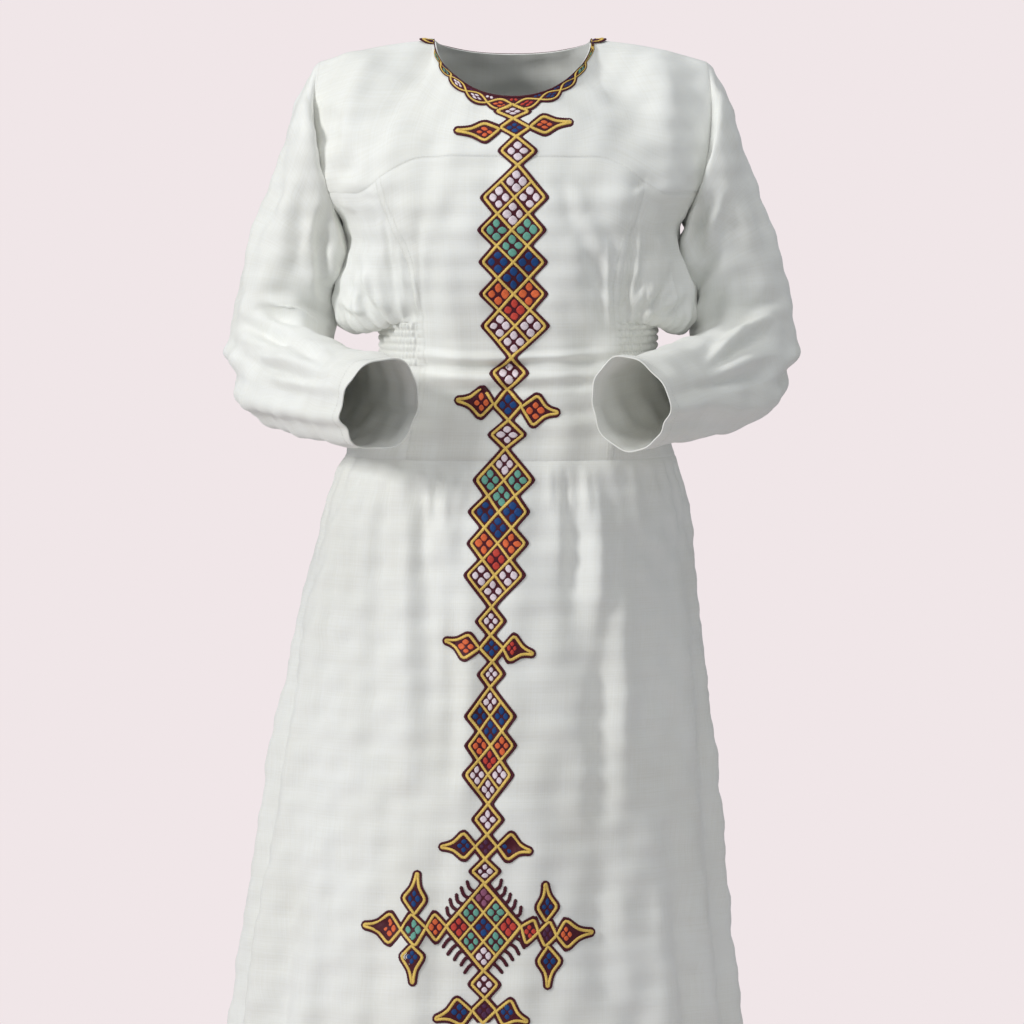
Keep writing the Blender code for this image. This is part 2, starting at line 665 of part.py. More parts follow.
def shirring(side, hand, collection):
    """Rows of elastic gathers, raised on the outside of a band that is plain inside."""
    share = np.linspace(0, 1, 2 * SHIRRING_PUCKERS + 1)
    plain = band_grid(share, side, SHIRRING_TOP_Z, SHIRRING_BOTTOM_Z, 2 * SHIRRING_ROWS + 1)
    plain = inset(plain, top=SEAM_GAP, bottom=SEAM_GAP, left=SEAM_GAP, right=SEAM_GAP)
    rows, columns = plain.shape[:2]
    way = np.gradient(plain, axis=1)
    out = np.stack([way[..., 1], -way[..., 0], 0 * way[..., 0]], axis=-1)
    out /= np.linalg.norm(out, axis=-1, keepdims=True)
    row_index, column_index = np.mgrid[0:rows, 0:columns]
    raised = (row_index % 2) * (0.5 + 0.5 * np.cos(np.pi * column_index)) * SHIRRING_RELIEF
    outer = plain + out * raised[..., None]
    inner = plain - out * WALL
    count = rows * columns
    faces = grid_faces(rows, columns, False)
    back = [tuple(count + corner for corner in face[::-1]) for face in faces]
    edge = [j * columns for j in range(rows)]
    edge += [(rows - 1) * columns + i for i in range(1, columns)]
    edge += [j * columns + columns - 1 for j in range(rows - 2, -1, -1)]
    edge += list(range(columns - 2, 0, -1))
    rim = [
        (a, count + a, count + b, b)
        for a, b in zip(edge, edge[1:] + edge[:1])
    ]
    name = f"shirred_waist_{hand}"
    mesh = bpy.data.meshes.new(name)
    points = np.concatenate([outer.reshape(-1, 3), inner.reshape(-1, 3)])
    mesh.from_pydata(points.tolist(), [], faces + back + rim)
    mesh.validate()
    piece = bpy.data.objects.new(name, mesh)
    collection.objects.link(piece)
    mesh.materials.append(material_for(*CLOTH))
    return piece


def sleeves(collection):
    """Two long set-in sleeves, bent at the elbow, open at the cuffs."""
    for side, hand in ((-1, "right"), (1, "left")):
        grid = sleeve(side, SLEEVE_ROWS_DOWN)
        cloth(f"sleeve_{hand}", inset(grid, top=2 * BENT_GAP), CLOTH, collection, wrap=True)


def skirts(collection):
    """Front and back of the skirt, which meet at side seams."""
    z = SKIRT_TOP_Z + (HEM_Z - SKIRT_TOP_Z) * np.linspace(0, 1, SKIRT_ROWS_DOWN + 1)[:, None] ** 1.25
    for start, name in ((-90, "skirt_front"), (90, "skirt_back")):
        theta = np.radians(np.linspace(start, start + 180, GATHERS + 1))
        grid = skirt(theta[None, :], z)
        grid = inset(grid, top=SEAM_GAP, left=SEAM_GAP, right=SEAM_GAP)
        cloth(name, grid, CLOTH, collection)


def neck_border(collection):
    """A band round the whole neck, lying on the yokes."""
    seam_length = SHOULDER_TIP[0] - NECK_POINT[0]
    loop = []
    for front in (True, False):
        way = np.linspace(-1, 1, BORDER_STEPS + 1) * (1 if front else -1)
        inner = way * NECK_SHARE
        outer = inner + np.sin(way * np.pi / 2) * BORDER_WIDTH * (1 - NECK_SHARE) / seam_length
        edge = yoke(inner, np.ones(len(way)), front)
        below = yoke(inner, np.full(len(way), 1 - BORDER_REACH), front)
        drop = BORDER_REACH * BORDER_WIDTH / np.linalg.norm(edge - below, axis=-1)
        across = np.linspace(0, 1, 3)[:, None]
        share = inner + (outer - inner) * across
        t = 1 - drop * np.cos(way * np.pi / 2) * across
        loop.append(yoke_out(share, t, front)[:, :-1])
    cloth("neck_border", np.concatenate(loop, axis=1), MAROON, collection, wrap=True, wall=EMBROIDERY_WALL)


def yoke_out(share, t, front):
    """Points that stand clear of a yoke, for the neck border."""
    here = yoke(share, t, front)
    nudge = 0.01
    across = yoke(share + nudge, t, front) - yoke(share - nudge, t, front)
    along = here - yoke(share, t - nudge, front)
    out = np.cross(across, along) * (1 if front else -1)
    out /= np.linalg.norm(out, axis=-1, keepdims=True)
    return here + out * (BORDER_LIFT + EMBROIDERY_WALL)


def plate(name, x, z, collection):
    """A thin raised shape on the front, from a grid of places."""
    cloth(name, lifted(x, z), MAROON, collection, wall=EMBROIDERY_WALL)


def centre_embroidery(collection):
    """The chain down the front, the arms of its crosses, and the crosses beside its medallion."""
    z, half = chain_outline()
    middle = down(z, SWAY_COLUMNS, SWAY_ROWS, "x")
    x = middle[:, None] + half[:, None] * np.linspace(-1, 1, 5)
    plate("centre_chain", x, z[:, None] + 0 * x, collection)
    for row in ARM_ROWS:
        arm = dict(zip(ARM_COLUMNS, row))
        beside = arm["name"].startswith("medallion")
        along, high = np.array(SIDE_CROSS_OUTLINE if beside else ARM_OUTLINE).T
        reach = arm["outer"] - arm["inner"]
        order = slice(None, None, 1 if reach > 0 else -1)
        x = (arm["inner"] + reach * along)[order]
        half = (arm["half_height"] * high)[order]
        z = arm["z"] + half * np.linspace(1, -1, 5 if beside else 3)[:, None]
        plate(arm["name"], x + 0 * z, z, collection)


def chain_outline():
    """Heights down the chain and its half width at each: tips, widest places and notches."""
    z, half = [], []
    for row in CHAIN_ROWS:
        motif = dict(zip(CHAIN_COLUMNS, row))
        step = (motif["top"] - motif["bottom"]) / (motif["steps"] + 1)
        z.append(motif["top"])
        half.append(TIP_HALF_WIDTH)
        for number in range(motif["steps"]):
            widest = motif["top"] - (number + 1) * step
            if number:
                z.append(widest + step / 2)
                half.append(motif["half_width"] * NOTCH)
            z.append(widest)
            half.append(motif["half_width"])
    z.append(CHAIN_ROWS[-1][1])
    half.append(TIP_HALF_WIDTH)
    return np.array(z), np.array(half)


def main():
    for thing in list(bpy.data.objects):
        bpy.data.objects.remove(thing, do_unlink=True)
    collection = bpy.data.collections.new("Habesha kemis")
    bpy.context.scene.collection.children.link(collection)
    bodice(collection)
    sleeves(collection)
    skirts(collection)
    neck_border(collection)
    centre_embroidery(collection)


main()
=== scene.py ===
"""Looks of a habesha kemis: a long white cotton dress, filled out as it is worn.

Every panel of cloth is a surface over two parameters, worked out as a whole array from the same
tables as the plain parts, on a finer grid, with the ripples, creases, gathers and seams of worn
cotton. The embroidery is lines of cord, small cushions of satin stitch and a raised ground,
drawn flat and then laid on the cloth. Metres, +Z up, the front of the dress towards -Y.
"""

import math

import bpy
import numpy as np
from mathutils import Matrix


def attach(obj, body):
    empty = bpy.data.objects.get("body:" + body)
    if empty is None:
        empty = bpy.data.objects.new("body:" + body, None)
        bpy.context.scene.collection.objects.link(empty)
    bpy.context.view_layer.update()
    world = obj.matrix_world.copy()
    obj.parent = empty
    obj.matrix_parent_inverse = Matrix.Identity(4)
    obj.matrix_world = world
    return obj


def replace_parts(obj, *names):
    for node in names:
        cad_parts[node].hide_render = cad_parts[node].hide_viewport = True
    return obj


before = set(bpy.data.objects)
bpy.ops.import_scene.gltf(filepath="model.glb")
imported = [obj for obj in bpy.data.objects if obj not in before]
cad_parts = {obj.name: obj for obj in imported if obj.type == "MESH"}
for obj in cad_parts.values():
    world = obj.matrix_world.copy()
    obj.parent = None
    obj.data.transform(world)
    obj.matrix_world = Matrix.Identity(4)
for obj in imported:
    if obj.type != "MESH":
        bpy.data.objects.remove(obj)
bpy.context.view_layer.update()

# Thickness of the cloth, and how the rows of the chest crowd towards its top.
WALL = 0.0012
LEVEL_POWER = 0.9

# Faces of each panel across and down. Panels that are sewn together share their numbers of faces,
# or one of them has a whole multiple of the other's.
YOKE_ROWS = 64
BACK_YOKE_ROWS = 32
CENTRE_STEPS = 112
CHEST_ROWS = 84
WAIST_ROWS = 36
HIP_ROWS = 44
SIDE_STEPS = 38
BAND_STEPS = 60
SHIRRED_STEPS = 240
ROWS_PER_GATHER = 6
SLEEVE_ROWS_DOWN = 112
SKIRT_STEPS = 170
SKIRT_ROWS_DOWN = 150
SKIRT_BACK_STEPS = 130
SKIRT_BACK_ROWS_DOWN = 110
SOLVER_STEPS = 12

SHOULDER_TIP = (0.199, 0.002, -0.023)
NECK_POINT = (0.080, 0.004, 0.0)
NECK_FRONT = (0.0, -0.080, -0.058)
NECK_BACK = (0.0, 0.064, -0.014)
NECK_SHARE = 0.42
SHOULDER_SAG = 0.004

YOKE_CENTRE_Z = -0.119
YOKE_SIDE_Z = -0.156
UNDERARM_Z = -0.184
ARMHOLE_ANGLE = math.radians(18)

SHIRRING_TOP_Z = -0.286
SHIRRING_BOTTOM_Z = -0.330
SHIRRING_ROWS = 6
SHIRRING_RELIEF = 0.0008
SHIRRING_PUCKERS = 8

SKIRT_TOP_Z = -0.424
HEM_Z = -1.360

# Half the width of the centre panels, at their top, at the waist and at the skirt seam.
PRINCESS_X = (
    (YOKE_CENTRE_Z, 0.136),
    (YOKE_SIDE_Z, 0.134),
    (-0.227, 0.109),
    (SHIRRING_TOP_Z, 0.103),
    (SHIRRING_BOTTOM_Z, 0.101),
    (SKIRT_TOP_Z, 0.105),
)

# Torso rings, from the chest to the seam of the skirt.
TORSO_COLUMNS = ("z", "centre", "half_width", "front", "back", "square")
TORSO_ROWS = (
    (-0.100, -0.002, 0.207, 0.106, 0.103, 0.05),
    (-0.119, -0.002, 0.206, 0.113, 0.105, 0.06),
    (-0.156, -0.002, 0.193, 0.127, 0.108, 0.07),
    (-0.186, -0.001, 0.171, 0.132, 0.110, 0.08),
    (-0.220, 0.001, 0.158, 0.131, 0.110, 0.08),
    (-0.260, 0.003, 0.151, 0.125, 0.106, 0.08),
    (-0.290, 0.005, 0.143, 0.119, 0.100, 0.07),
    (-0.330, 0.005, 0.142, 0.116, 0.098, 0.06),
    (-0.370, 0.002, 0.151, 0.119, 0.104, 0.05),
    (-0.424, -0.003, 0.168, 0.123, 0.114, 0.04),
)

# The side panel bags out over the shirring: how far out, and how far down, at each height.
POUCH_COLUMNS = ("z", "out", "down")
POUCH_ROWS = (
    (-0.186, 0.000, 0.000),
    (-0.205, 0.006, 0.000),
    (-0.225, 0.019, 0.001),
    (-0.245, 0.031, 0.004),
    (-0.262, 0.036, 0.011),
    (-0.274, 0.033, 0.017),
    (-0.281, 0.020, 0.018),
    (-0.286, 0.004, 0.006),
)

SIDE_GATHERS = 9
SIDE_GATHER_DEPTH = 0.0016
SIDE_GATHER_TOP_Z = -0.20

# Skirt rings, from the seam at the hips to the hem.
SKIRT_COLUMNS = ("z", "centre", "half_width", "front", "back", "square")
SKIRT_ROWS = (
    (-0.424, -0.003, 0.168, 0.123, 0.114, 0.04),
    (-0.470, -0.006, 0.184, 0.130, 0.128, 0.03),
    (-0.540, -0.011, 0.197, 0.139, 0.140, 0.02),
    (-0.660, -0.018, 0.212, 0.155, 0.156, 0.00),
    (-0.800, -0.024, 0.226, 0.175, 0.176, 0.00),
    (-0.946, -0.028, 0.243, 0.197, 0.200, 0.00),
    (-1.150, -0.030, 0.272, 0.229, 0.236, 0.00),
    (-1.360, -0.030, 0.303, 0.263, 0.272, 0.00),
)

# Folds of the skirt: where each crest lies round the skirt, half its breadth there, how far
# it stands out at the hem, and the heights where it begins and where it has its full depth.
FOLD_COLUMNS = ("degrees", "breadth", "depth", "start_z", "full_z")
FOLD_ROWS = (
    (-172, 9, 0.022, -0.43, -0.95),
    (-154, 8, 0.018, -0.45, -0.80),
    (-137, 9, 0.024, -0.43, -1.05),
    (-118, 8, 0.019, -0.50, -0.85),
    (-101, 9, 0.022, -0.43, -0.95),
    (-84, 8, 0.017, -0.46, -0.75),
    (-66, 9, 0.021, -0.44, -0.90),
    (-47, 8, 0.016, -0.62, -1.10),
    (-31, 7, 0.013, -0.86, -1.20),
    (-13, 8, 0.009, -0.96, -1.25),
    (9, 8, 0.008, -0.98, -1.30),
    (29, 8, 0.014, -0.84, -1.15),
    (46, 8, 0.017, -0.60, -1.05),
    (64, 9, 0.017, -0.45, -0.95),
    (82, 8, 0.021, -0.44, -0.85),
    (101, 9, 0.019, -0.48, -0.80),
    (119, 8, 0.023, -0.44, -0.95),
    (136, 9, 0.017, -0.46, -0.85),
    (153, 8, 0.021, -0.44, -1.00),
    (171, 9, 0.018, -0.45, -0.90),
)
GATHERS = 40
GATHER_DEPTH = 0.0018
GATHER_FADE = 0.055
FLAT_FRONT = math.radians(17)

# Rings of the wearer's right sleeve (at -X), from below the armhole to the cuff: the ends of
# its breadth beside the body and at its outer side, half its depth, and how far it faces forward.
SLEEVE_COLUMNS = ("in_x", "in_y", "in_z", "out_x", "out_y", "out_z", "deep", "forward")
SLEEVE_ROWS = (
    (-0.176, 0.006, -0.194, -0.219, 0.003, -0.058, 0.064, 0),
    (-0.170, 0.008, -0.212, -0.238, 0.006, -0.112, 0.063, 0),
    (-0.176, 0.011, -0.234, -0.256, 0.011, -0.168, 0.062, 2),
    (-0.182, 0.016, -0.260, -0.275, 0.016, -0.228, 0.062, 8),
    (-0.183, 0.020, -0.290, -0.288, 0.014, -0.284, 0.061, 24),
    (-0.186, 0.012, -0.318, -0.290, -0.004, -0.318, 0.060, 46),
    (-0.181, -0.010, -0.339, -0.279, -0.043, -0.339, 0.057, 64),
    (-0.168, -0.044, -0.349, -0.254, -0.089, -0.349, 0.053, 74),
    (-0.147, -0.085, -0.355, -0.223, -0.132, -0.355, 0.050, 79),
    (-0.119, -0.129, -0.360, -0.193, -0.176, -0.360, 0.048, 81),
    (-0.094, -0.164, -0.364, -0.170, -0.212, -0.364, 0.048, 81),
)
# How far the wearer's left cuff lies nearer the middle than the right one.
LEFT_CUFF_SHIFT = 0.016

# Folds of a sleeve: place round it (0 outer, 90 front), half breadth, depth, first and last ring.
SLEEVE_FOLD_COLUMNS = ("degrees", "breadth", "depth", "first", "last")
SLEEVE_FOLD_ROWS = (
    (150, 20, 0.010, 0.5, 4.6),
    (118, 16, -0.008, 0.4, 4.2),
    (60, 15, 0.004, 1.0, 3.8),
    (30, 14, -0.003, 1.6, 4.4),
    (215, 18, 0.006, 3.4, 7.6),
    (255, 16, -0.006, 4.0, 8.4),
    (300, 18, 0.005, 3.2, 7.8),
    (20, 16, -0.004, 4.6, 9.0),
    (340, 14, 0.004, 5.5, 10.0),
)

# Seams and hems: how far the cloth sinks into a seam, over what length, how wide and how thick the
# allowance pressed beneath it is, and the widths of the turned-up hems.
SEAM_SINK = 0.0006
SEAM_SINK_REACH = 0.0017
# How far from a seam the cloth still follows when two edges are brought together.
JOIN_REACH = 0.006
JOIN_ROUNDS = 4
SEAM_ALLOWANCE = 0.0070
SEAM_FOLD = 0.00035
HEM_STEP = 0.0004
CUFF_HEM = 0.015
SKIRT_HEM = 0.025
# The backs of the yoke and of the centre panel take only every second column and row.
BACK_THINNING = 2
# Gathers above the shirring, and the puffs and puckers between its rows of elastic.
FINE_GATHERS = 17
FINE_GATHER_DEPTH = 0.0021
PUCKERS = 46
PUFF_DEPTH = 0.0013
PUCKER_DEPTH = 0.0010
ELASTIC_SINK = 0.0004
# The sleeve's head rolls out a little beyond its seam: how far away from it, how wide and how high.
SLEEVE_ROLL_AT = 0.0075
SLEEVE_ROLL_BREADTH = 0.0075
SLEEVE_ROLL_DEPTH = 0.0013
# Stitches of sewing thread, and the period of the weave.
STITCH = 0.0022
STITCH_SPACE = 0.0008
STITCH_HALF = 0.00028
WEAVE = 0.0010
# Step of the table that the embroidery reads the cloth's depth from.
FIELD_STEP = 0.002

# The studio: the floor just under the hem, soft lights (place, size, power) and the camera.
FLOOR_CENTRE = (0.0, 0.0)
FLOOR_RADIUS = 1.7
FLOOR_Z = -1.366
LIGHT_TARGET = (0.0, 0.0, -0.50)
LIGHTS = (
    ("key_light", (-2.7, -1.7, 0.95), (0.7, 0.7), 62.0),
    ("fill_light", (1.9, -2.8, 0.15), (1.6, 1.6), 9.0),
    ("top_light", (0.1, -0.9, 1.7), (1.2, 1.0), 11.0),
)
# How much light comes from all round, apart from the lamps.
SURROUND = (236, 240, 244)
SURROUND_STRENGTH = 0.38
LENS = 200
CAMERA_PLACE = (-0.001, -5.830, -0.076)
CAMERA_TARGET = (-0.001, -0.110, -0.476)

# Creases of the worn cotton. Each is a line seen from one side: where it starts and ends, how far
# it bows aside, half its breadth and how far it stands out (a hollow where it is less than 0).
CREASE_COLUMNS = ("view", "from_x", "from_z", "to_x", "to_z", "bow", "breadth", "depth")
CREASES = {
    "front_yoke": (
        ("front", -0.176, -0.072, -0.192, -0.108, 0.002, 0.010, -0.0022),
        ("front", -0.160, -0.112, -0.180, -0.152, 0.002, 0.009, -0.0020),
        ("front", -0.150, -0.060, -0.176, -0.100, -0.003, 0.014, 0.0016),
        ("front", 0.168, -0.098, 0.184, -0.134, 0.002, 0.009, -0.0020),
        ("front", 0.150, -0.080, 0.172, -0.130, -0.003, 0.014, 0.0014),
        ("front", -0.186, -0.140, -0.130, -0.150, -0.004, 0.007, 0.0010),
        ("front", 0.186, -0.140, 0.136, -0.150, 0.004, 0.007, 0.0010),
        ("front", -0.120, -0.030, -0.060, -0.104, 0.004, 0.016, 0.0007),
        ("front", 0.126, -0.034, 0.066, -0.104, -0.004, 0.016, 0.0007),
    ),
    "back_yoke": (
        ("back", -0.150, -0.052, -0.184, -0.120, 0.003, 0.012, -0.0020),
        ("back", 0.150, -0.052, 0.184, -0.120, -0.003, 0.012, -0.0020),
        ("back", -0.080, -0.100, 0.020, -0.108, 0.003, 0.010, 0.0009),
        ("back", -0.110, -0.060, -0.060, -0.130, -0.003, 0.016, 0.0010),
        ("back", 0.110, -0.064, 0.066, -0.130, 0.003, 0.016, 0.0010),
    ),
    "centre_front": (
        ("front", -0.104, -0.280, 0.098, -0.276, -0.004, 0.008, 0.0006),
        ("front", -0.106, -0.315, -0.010, -0.320, -0.002, 0.004, 0.0015),
        ("front", -0.040, -0.319, 0.104, -0.314, -0.003, 0.004, 0.0014),
        ("front", -0.106, -0.327, 0.020, -0.330, -0.002, 0.004, -0.0017),
        ("front", -0.040, -0.330, 0.106, -0.325, 0.002, 0.004, -0.0016),
        ("front", -0.106, -0.337, 0.104, -0.337, -0.003, 0.005, 0.0021),
        ("front", -0.100, -0.349, 0.070, -0.354, -0.002, 0.005, -0.0017),
        ("front", -0.050, -0.363, 0.106, -0.355, 0.003, 0.005, 0.0015),
        ("front", -0.106, -0.372, -0.020, -0.380, -0.003, 0.008, 0.0010),
        ("front", 0.030, -0.384, 0.106, -0.372, 0.002, 0.008, -0.0009),
        ("front", 0.045, -0.138, 0.060, -0.200, 0.003, 0.008, -0.0013),
        ("front", 0.062, -0.180, 0.101, -0.262, -0.004, 0.008, -0.0015),
        ("front", 0.074, -0.176, 0.108, -0.236, -0.003, 0.008, 0.0010),
        ("front", -0.072, -0.150, -0.090, -0.230, -0.002, 0.009, 0.0009),
        ("front", -0.095, -0.172, -0.101, -0.262, 0.001, 0.005, -0.0010),
        ("front", -0.060, -0.200, -0.074, -0.290, 0.002, 0.012, 0.0006),
        ("front", 0.060, -0.230, 0.080, -0.304, -0.003, 0.010, 0.0007),
        ("front", -0.134, -0.160, -0.150, -0.142, 0.001, 0.004, 0.0012),
        ("front", 0.120, -0.158, 0.140, -0.146, -0.001, 0.004, 0.0012),
        ("front", -0.100, -0.206, -0.099, -0.284, 0.001, 0.003, 0.0014),
        ("front", 0.096, -0.200, 0.097, -0.284, -0.001, 0.003, 0.0014),
        ("front", 0.086, -0.214, 0.092, -0.296, -0.001, 0.004, -0.0012),
    ),
    "centre_back": (
        ("back", -0.104, -0.300, 0.104, -0.308, 0.004, 0.008, 0.0016),
        ("back", -0.100, -0.322, 0.080, -0.318, -0.003, 0.007, -0.0015),
        ("back", -0.090, -0.344, 0.104, -0.338, 0.003, 0.009, 0.0015),
        ("back", -0.050, -0.140, -0.084, -0.250, 0.004, 0.012, 0.0012),
        ("back", 0.056, -0.150, 0.090, -0.250, -0.004, 0.012, 0.0012),
    ),
    "side_panel_right": (
        ("front", -0.132, -0.158, -0.152, -0.146, 0.001, 0.004, 0.0014),
        ("front", -0.160, -0.176, -0.176, -0.158, 0.001, 0.004, 0.0014),
        ("front", -0.128, -0.276, -0.152, -0.206, 0.006, 0.006, 0.0022),
        ("front", -0.136, -0.274, -0.170, -0.236, 0.005, 0.006, -0.0020),
        ("front", -0.119, -0.278, -0.132, -0.186, 0.004, 0.005, -0.0016),
        ("front", -0.110, -0.250, -0.118, -0.180, 0.002, 0.005, 0.0014),
        ("front", -0.117, -0.273, -0.130, -0.175, 0.002, 0.003, -0.0022),
        ("front", -0.105, -0.275, -0.115, -0.202, 0.001, 0.003, 0.0018),
        ("front", -0.134, -0.273, -0.149, -0.236, 0.003, 0.004, 0.0026),
        ("front", -0.141, -0.282, -0.158, -0.258, 0.002, 0.003, -0.0024),
        ("front", -0.150, -0.276, -0.180, -0.262, 0.003, 0.004, 0.0022),
        ("right", 0.040, -0.276, 0.020, -0.200, 0.004, 0.008, 0.0028),
        ("right", 0.010, -0.276, 0.000, -0.230, 0.003, 0.004, 0.0020),
        ("right", -0.020, -0.276, -0.030, -0.210, 0.004, 0.007, -0.0026),
        ("back", -0.130, -0.274, -0.150, -0.206, -0.004, 0.007, 0.0028),
        ("back", -0.112, -0.274, -0.120, -0.200, -0.002, 0.004, -0.0018),
    ),
    "side_panel_left": (
        ("front", 0.114, -0.158, 0.135, -0.150, 0.001, 0.004, 0.0014),
        ("front", 0.152, -0.146, 0.174, -0.154, -0.001, 0.004, 0.0014),
        ("front", 0.121, -0.278, 0.148, -0.200, -0.006, 0.006, 0.0024),
        ("front", 0.130, -0.276, 0.166, -0.222, -0.006, 0.006, -0.0022),
        ("front", 0.112, -0.278, 0.120, -0.190, -0.002, 0.004, -0.0018),
        ("front", 0.140, -0.280, 0.176, -0.250, -0.004, 0.005, 0.0018),
        ("front", 0.116, -0.274, 0.128, -0.180, -0.002, 0.003, 0.0022),
        ("front", 0.126, -0.276, 0.140, -0.228, -0.003, 0.004, -0.0026),
        ("front", 0.136, -0.280, 0.156, -0.252, -0.002, 0.003, 0.0024),
        ("front", 0.146, -0.278, 0.178, -0.262, -0.003, 0.004, -0.0022),
        ("left", 0.040, -0.276, 0.020, -0.200, 0.004, 0.008, 0.0028),
        ("left", 0.010, -0.276, 0.000, -0.230, 0.003, 0.004, 0.0020),
        ("left", -0.020, -0.276, -0.030, -0.210, 0.004, 0.007, -0.0026),
        ("back", 0.130, -0.274, 0.150, -0.206, 0.004, 0.007, 0.0028),
        ("back", 0.112, -0.274, 0.120, -0.200, 0.002, 0.004, -0.0018),
    ),
    "side_waist_right": (
        ("front", -0.108, -0.344, -0.150, -0.352, 0.002, 0.006, 0.0014),
        ("front", -0.108, -0.368, -0.160, -0.384, 0.003, 0.008, -0.0014),
        ("right", -0.060, -0.350, 0.060, -0.344, 0.003, 0.008, 0.0016),
        ("right", -0.050, -0.376, 0.070, -0.384, -0.003, 0.009, -0.0014),
    ),
    "side_waist_left": (
        ("front", 0.108, -0.342, 0.150, -0.350, -0.002, 0.006, 0.0014),
        ("front", 0.108, -0.372, 0.160, -0.386, -0.003, 0.008, -0.0014),
        ("left", -0.060, -0.346, 0.060, -0.352, 0.003, 0.008, 0.0016),
        ("left", -0.060, -0.378, 0.060, -0.386, -0.003, 0.009, -0.0014),
    ),
    "sleeve_right": (
        ("front", -0.206, -0.040, -0.224, -0.190, 0.006, 0.013, 0.0020),
        ("front", -0.214, -0.130, -0.232, -0.270, 0.004, 0.011, -0.0020),
        ("front", -0.228, -0.120, -0.262, -0.270, 0.008, 0.015, 0.0022),
        ("front", -0.204, -0.180, -0.197, -0.290, -0.004, 0.007, 0.0026),
        ("front", -0.197, -0.170, -0.191, -0.262, -0.002, 0.006, -0.0028),
        ("front", -0.190, -0.284, -0.182, -0.330, -0.002, 0.006, 0.0022),
        ("front", -0.286, -0.286, -0.180, -0.330, 0.004, 0.006, -0.0046),
        ("front", -0.262, -0.272, -0.208, -0.298, 0.003, 0.006, -0.0038),
        ("front", -0.252, -0.262, -0.186, -0.300, 0.002, 0.007, 0.0030),
        ("front", -0.292, -0.300, -0.196, -0.312, -0.004, 0.006, 0.0034),
        ("front", -0.288, -0.316, -0.170, -0.342, -0.006, 0.006, -0.0036),
        ("front", -0.276, -0.328, -0.178, -0.328, 0.006, 0.006, 0.0026),
        ("front", -0.262, -0.344, -0.160, -0.352, -0.006, 0.007, -0.0028),
        ("front", -0.250, -0.370, -0.150, -0.374, -0.005, 0.008, 0.0022),
        ("front", -0.228, -0.392, -0.130, -0.384, -0.004, 0.008, -0.0020),
        ("right", -0.030, -0.080, 0.000, -0.240, 0.006, 0.014, 0.0022),
        ("right", 0.034, -0.090, 0.040, -0.270, -0.006, 0.014, -0.0024),
        ("right", 0.060, -0.300, -0.060, -0.324, 0.010, 0.010, 0.0030),
        ("right", 0.050, -0.322, -0.080, -0.346, 0.010, 0.009, -0.0030),
        ("right", -0.020, -0.360, -0.150, -0.368, 0.008, 0.010, 0.0024),
        ("back", -0.250, -0.080, -0.268, -0.250, -0.006, 0.014, 0.0022),
        ("back", -0.222, -0.150, -0.206, -0.290, 0.004, 0.012, -0.0024),
        ("back", -0.280, -0.290, -0.196, -0.322, -0.006, 0.010, 0.0030),
        ("back", -0.282, -0.318, -0.200, -0.344, -0.006, 0.009, -0.0030),
    ),
    "sleeve_left": (
        ("front", 0.214, -0.046, 0.222, -0.190, -0.006, 0.013, 0.0020),
        ("front", 0.226, -0.130, 0.238, -0.260, -0.005, 0.012, -0.0018),
        ("front", 0.206, -0.150, 0.180, -0.232, -0.002, 0.006, -0.0036),
        ("front", 0.212, -0.150, 0.196, -0.240, -0.003, 0.007, 0.0026),
        ("front", 0.220, -0.226, 0.184, -0.312, -0.006, 0.008, 0.0030),
        ("front", 0.206, -0.216, 0.178, -0.290, -0.004, 0.006, -0.0030),
        ("front", 0.240, -0.200, 0.222, -0.290, -0.006, 0.012, 0.0018),
        ("front", 0.278, -0.262, 0.184, -0.322, -0.008, 0.007, -0.0040),
        ("front", 0.268, -0.282, 0.196, -0.324, -0.006, 0.006, 0.0034),
        ("front", 0.286, -0.298, 0.186, -0.340, -0.008, 0.007, -0.0034),
        ("front", 0.284, -0.318, 0.176, -0.348, -0.006, 0.007, 0.0028),
        ("front", 0.262, -0.342, 0.156, -0.356, -0.006, 0.007, -0.0026),
        ("front", 0.246, -0.368, 0.140, -0.374, -0.005, 0.008, 0.0022),
        ("front", 0.222, -0.390, 0.122, -0.386, -0.004, 0.008, -0.0020),
        ("left", -0.030, -0.080, 0.000, -0.240, 0.006, 0.014, 0.0022),
        ("left", 0.034, -0.090, 0.040, -0.270, -0.006, 0.014, -0.0024),
        ("left", 0.060, -0.296, -0.060, -0.330, 0.010, 0.010, 0.0030),
        ("left", 0.050, -0.318, -0.080, -0.352, 0.010, 0.009, -0.0030),
        ("left", -0.020, -0.362, -0.150, -0.370, 0.008, 0.010, 0.0024),
        ("back", 0.250, -0.080, 0.268, -0.250, 0.006, 0.014, 0.0022),
        ("back", 0.222, -0.150, 0.206, -0.290, -0.004, 0.012, -0.0024),
        ("back", 0.280, -0.290, 0.196, -0.322, 0.006, 0.010, 0.0030),
        ("back", 0.282, -0.318, 0.200, -0.344, 0.006, 0.009, -0.0030),
    ),
    "skirt_front": (
        ("front", -0.128, -0.430, -0.133, -0.760, -0.006, 0.016, -0.0044),
        ("front", -0.093, -0.438, -0.095, -0.548, 0.002, 0.008, -0.0032),
        ("front", -0.087, -0.428, -0.086, -0.492, 0.001, 0.004, 0.0018),
        ("front", -0.079, -0.428, -0.080, -0.480, 0.001, 0.003, -0.0014),
        ("front", -0.068, -0.428, -0.070, -0.496, 0.001, 0.004, 0.0016),
        ("front", -0.051, -0.428, -0.052, -0.470, 0.001, 0.004, 0.0012),
        ("front", -0.063, -0.535, -0.064, -0.768, 0.002, 0.010, -0.0036),
        ("front", 0.036, -0.428, 0.037, -0.474, 0.001, 0.004, 0.0013),
        ("front", 0.052, -0.428, 0.054, -0.486, 0.001, 0.004, -0.0016),
